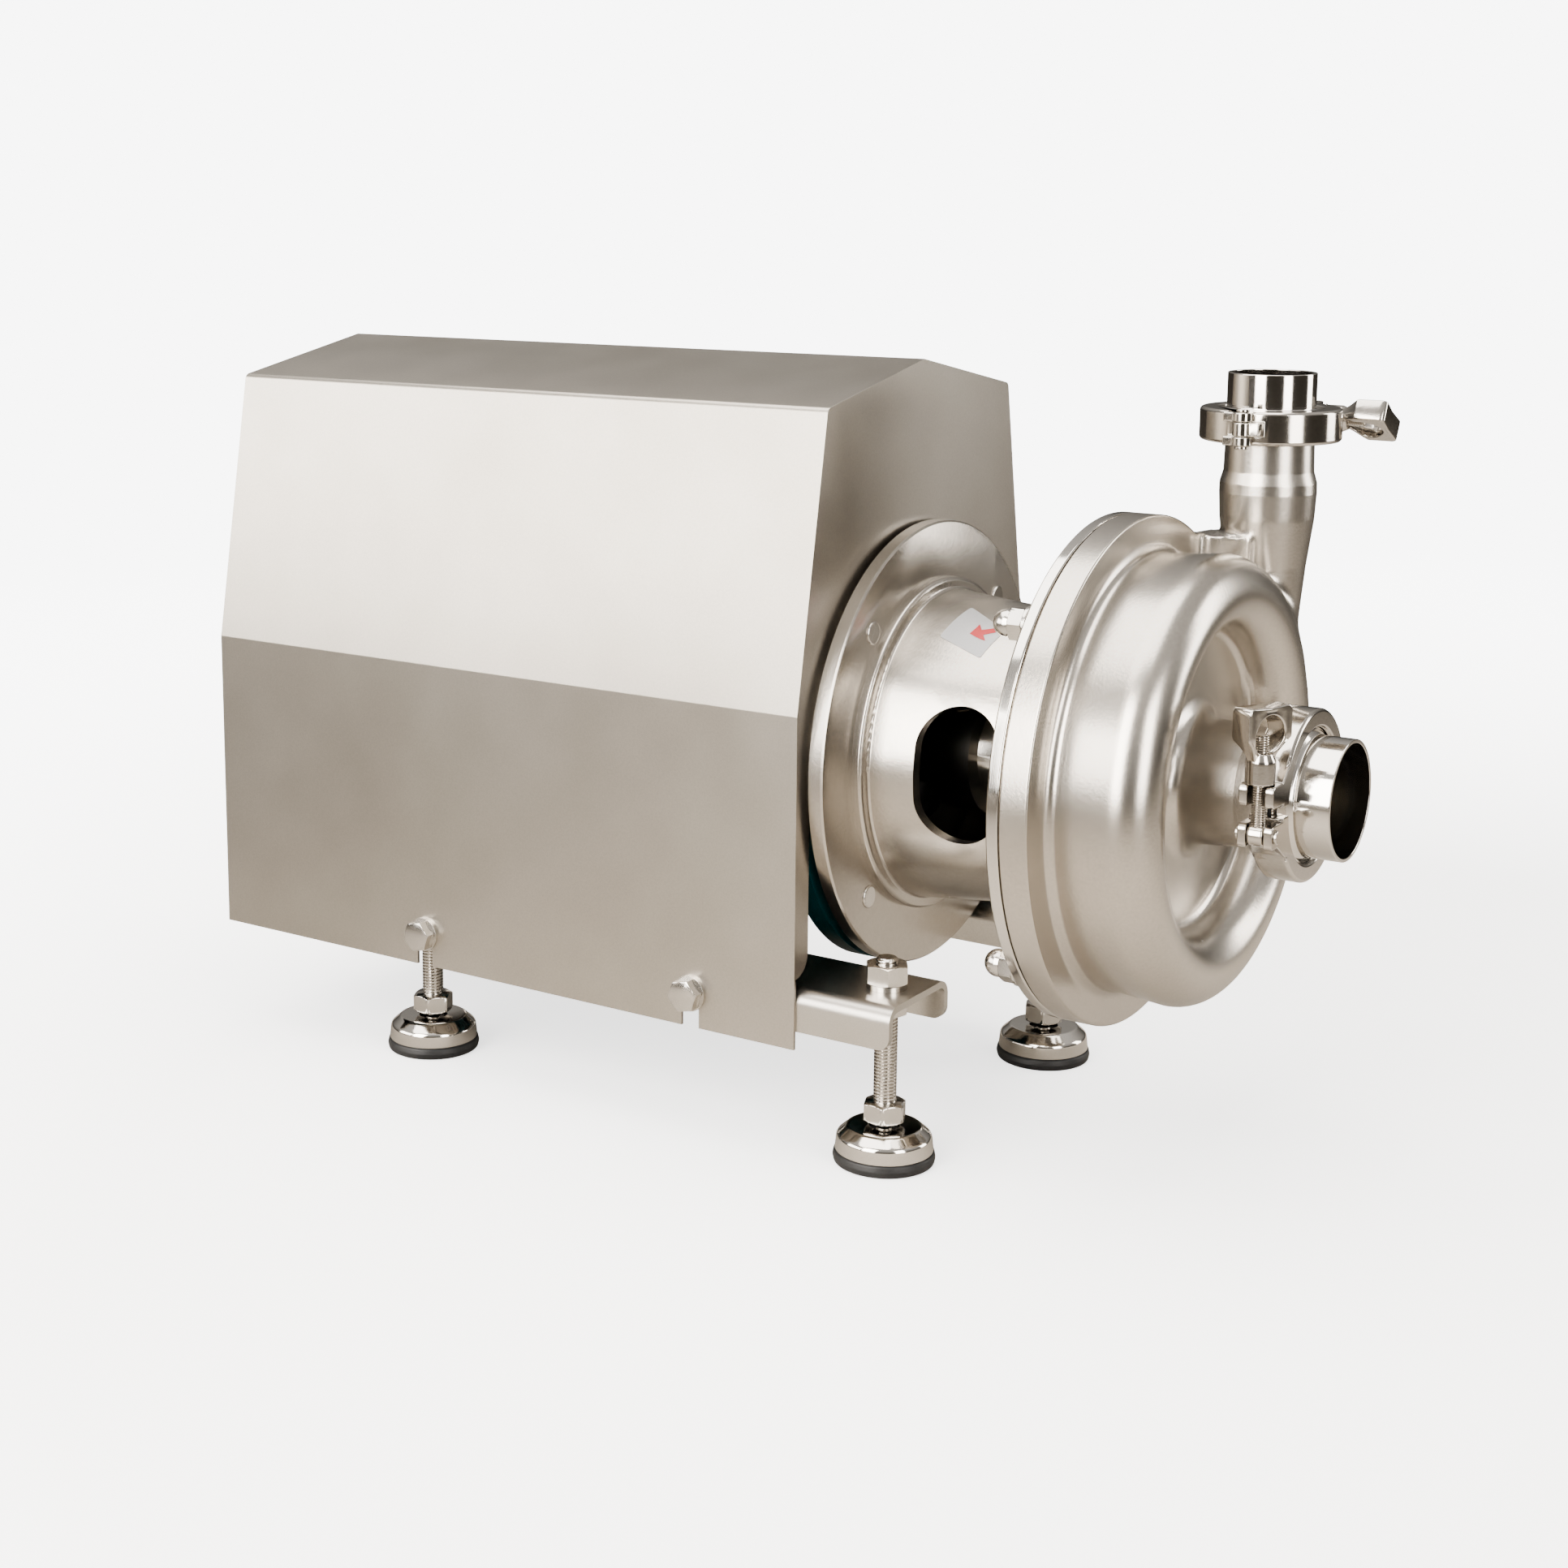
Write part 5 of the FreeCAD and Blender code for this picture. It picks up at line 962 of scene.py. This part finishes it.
softened = {
    "cover": 0.35, "rail_near": 0.5, "rail_far": 0.5, "adapter": 0.4, "back_plate": 0.3, "cover_bolts": 0.35,
    "foot_lock_nuts": 0.3, "clamp_pins": 0.4,
}

for node in nodeOf:
    if node not in dressedNodes:
        # the drive end shield gets the finish with painted shade inside the adapter
        copyNode(node, softened.get(node, 0.0), finish=shieldFinishWithPaintedShade() if node == "drive_end_shield" else None)
print("solids finished")


# Studio: a pale floor and backdrop where the camera looks, and for reflections a dim room with soft boxes

studio = {
    "floorSize": 30.0,
    "floorDrop": 0.3,
    "backdrop": 4.2,
    "lift": 1.35,
    "fade": (0.55, 1.9),
    "floorSeen": (0.80, 0.80, 0.80),
    "mirroredNear": (0.50, 0.465, 0.42),
    "mirroredFar": (0.10, 0.092, 0.082),
    "mirroredFade": (0.28, 1.05),
    "room": (0.06, 0.056, 0.05),
    "ceiling": (0.62, 0.595, 0.56),
    "ceilingRise": 1.3,
    "boxes": [
        ("left", (-1.75, -1.55, 0.64), (1.5, 1.1), 31.0),
        ("near", (-0.45, -2.05, 0.85), (1.2, 2.0), 78.0),
        ("side", (1.45, -0.75, 0.50), (0.7, 1.3), 22.0),
        ("right", (1.25, 1.35, 0.55), (0.7, 1.3), 18.0),
        ("top", (-0.6, -0.1, 2.2), (2.2, 2.2), 64.0),
    ],
    "tint": (1.0, 0.965, 0.915),
    "aim": (-0.18, 0.0, 0.02),
    "look": "AgX - Medium High Contrast",
}


# the floor takes shadows near the object and fades into the backdrop's white; in reflections it is dark
def floorFinish():
    made = bpy.data.materials.new("studio_floor")
    made.use_nodes = True
    tree = made.node_tree
    shader = tree.nodes["Principled BSDF"]
    shader.inputs["Roughness"].default_value = 0.9
    shader.inputs["Specular IOR Level"].default_value = 0.0
    path = addNode(tree, "ShaderNodeLightPath", (-900, 300))
    where = addNode(tree, "ShaderNodeTexCoord", (-1300, 0)).outputs["Object"]
    far = addNode(tree, "ShaderNodeVectorMath", (-1100, 0), operation="LENGTH")
    tree.links.new(where, far.inputs[0])
    near, wide = studio["mirroredFade"]
    share = mathNode(tree, (-900, 600), "SUBTRACT", far.outputs["Value"], near)
    share = mathNode(tree, (-750, 600), "DIVIDE", share, wide - near, True)
    mirrored = colourMix(tree, (-600, 600), share, (*studio["mirroredNear"], 1), (*studio["mirroredFar"], 1))
    colour = colourMix(tree, (-300, 400), path.outputs["Is Glossy Ray"], (*studio["floorSeen"], 1), mirrored)
    tree.links.new(colour, shader.inputs["Base Color"])
    near, wide = studio["fade"]
    share = mathNode(tree, (-900, 0), "SUBTRACT", far.outputs["Value"], near)
    share = mathNode(tree, (-750, 0), "DIVIDE", share, wide - near, True)
    rise = mathNode(tree, (-600, 0), "MULTIPLY", share, studio["backdrop"] - studio["lift"])
    rise = mathNode(tree, (-450, 0), "ADD", rise, studio["lift"])
    rise = mathNode(tree, (-300, 0), "MULTIPLY", rise, path.outputs["Is Camera Ray"])
    glow = addNode(tree, "ShaderNodeEmission", (0, -200))
    tree.links.new(rise, glow.inputs["Strength"])
    plain = addNode(tree, "ShaderNodeEmission", (0, -400))
    plain.inputs["Strength"].default_value = studio["backdrop"]
    both = addNode(tree, "ShaderNodeAddShader", (200, 0))
    tree.links.new(shader.outputs[0], both.inputs[0])
    tree.links.new(glow.outputs[0], both.inputs[1])
    seen = mathNode(tree, (0, 200), "MULTIPLY", share, path.outputs["Is Camera Ray"])
    last = addNode(tree, "ShaderNodeMixShader", (400, 0))
    tree.links.new(seen, last.inputs[0])
    tree.links.new(both.outputs[0], last.inputs[1])
    tree.links.new(plain.outputs[0], last.inputs[2])
    tree.links.new(last.outputs[0], tree.nodes["Material Output"].inputs["Surface"])
    return made


def setStudio():
    size = studio["floorSize"] / 2 / mm
    level = boxOf("foot_pad_front_near")[0][2] - studio["floorDrop"]
    corners = np.array([[-size, -size, level], [size, -size, level], [size, size, level], [-size, size, level]])
    floor = bpy.data.objects.new("floor", makeMesh("floor", corners, np.array([[0, 1, 2, 3]])))
    bpy.context.scene.collection.objects.link(floor)
    floor.data.materials.append(floorFinish())
    world = bpy.data.worlds.new("studio")
    bpy.context.scene.world = world
    world.use_nodes = True
    tree = world.node_tree
    back = tree.nodes["Background"]
    # the room's tone rises from the horizon to the ceiling
    where = addNode(tree, "ShaderNodeTexCoord", (-1000, 0)).outputs["Generated"]
    parts = addNode(tree, "ShaderNodeSeparateXYZ", (-800, 0))
    tree.links.new(where, parts.inputs[0])
    height = mathNode(tree, (-600, 0), "MULTIPLY", parts.outputs[2], studio["ceilingRise"], True)
    room = colourMix(tree, (-400, 0), height, (*studio["room"], 1), (*studio["ceiling"], 1))
    seen = addNode(tree, "ShaderNodeLightPath", (-400, 250)).outputs["Is Camera Ray"]
    white = studio["backdrop"]
    shown = colourMix(tree, (-200, 0), seen, room, (white, white, white, 1))
    tree.links.new(shown, back.inputs["Color"])
    for name, spot, span, power in studio["boxes"]:
        lamp = bpy.data.lights.new(name, "AREA")
        lamp.shape = "RECTANGLE"
        lamp.size, lamp.size_y = span
        lamp.energy = power
        lamp.color = studio["tint"]
        light = bpy.data.objects.new(name, lamp)
        light.location = spot
        light.rotation_euler = (Vector(studio["aim"]) - Vector(spot)).to_track_quat("-Z", "Y").to_euler()
        bpy.context.scene.collection.objects.link(light)
    bpy.context.scene.view_settings.look = studio["look"]


setStudio()
print("studio set")
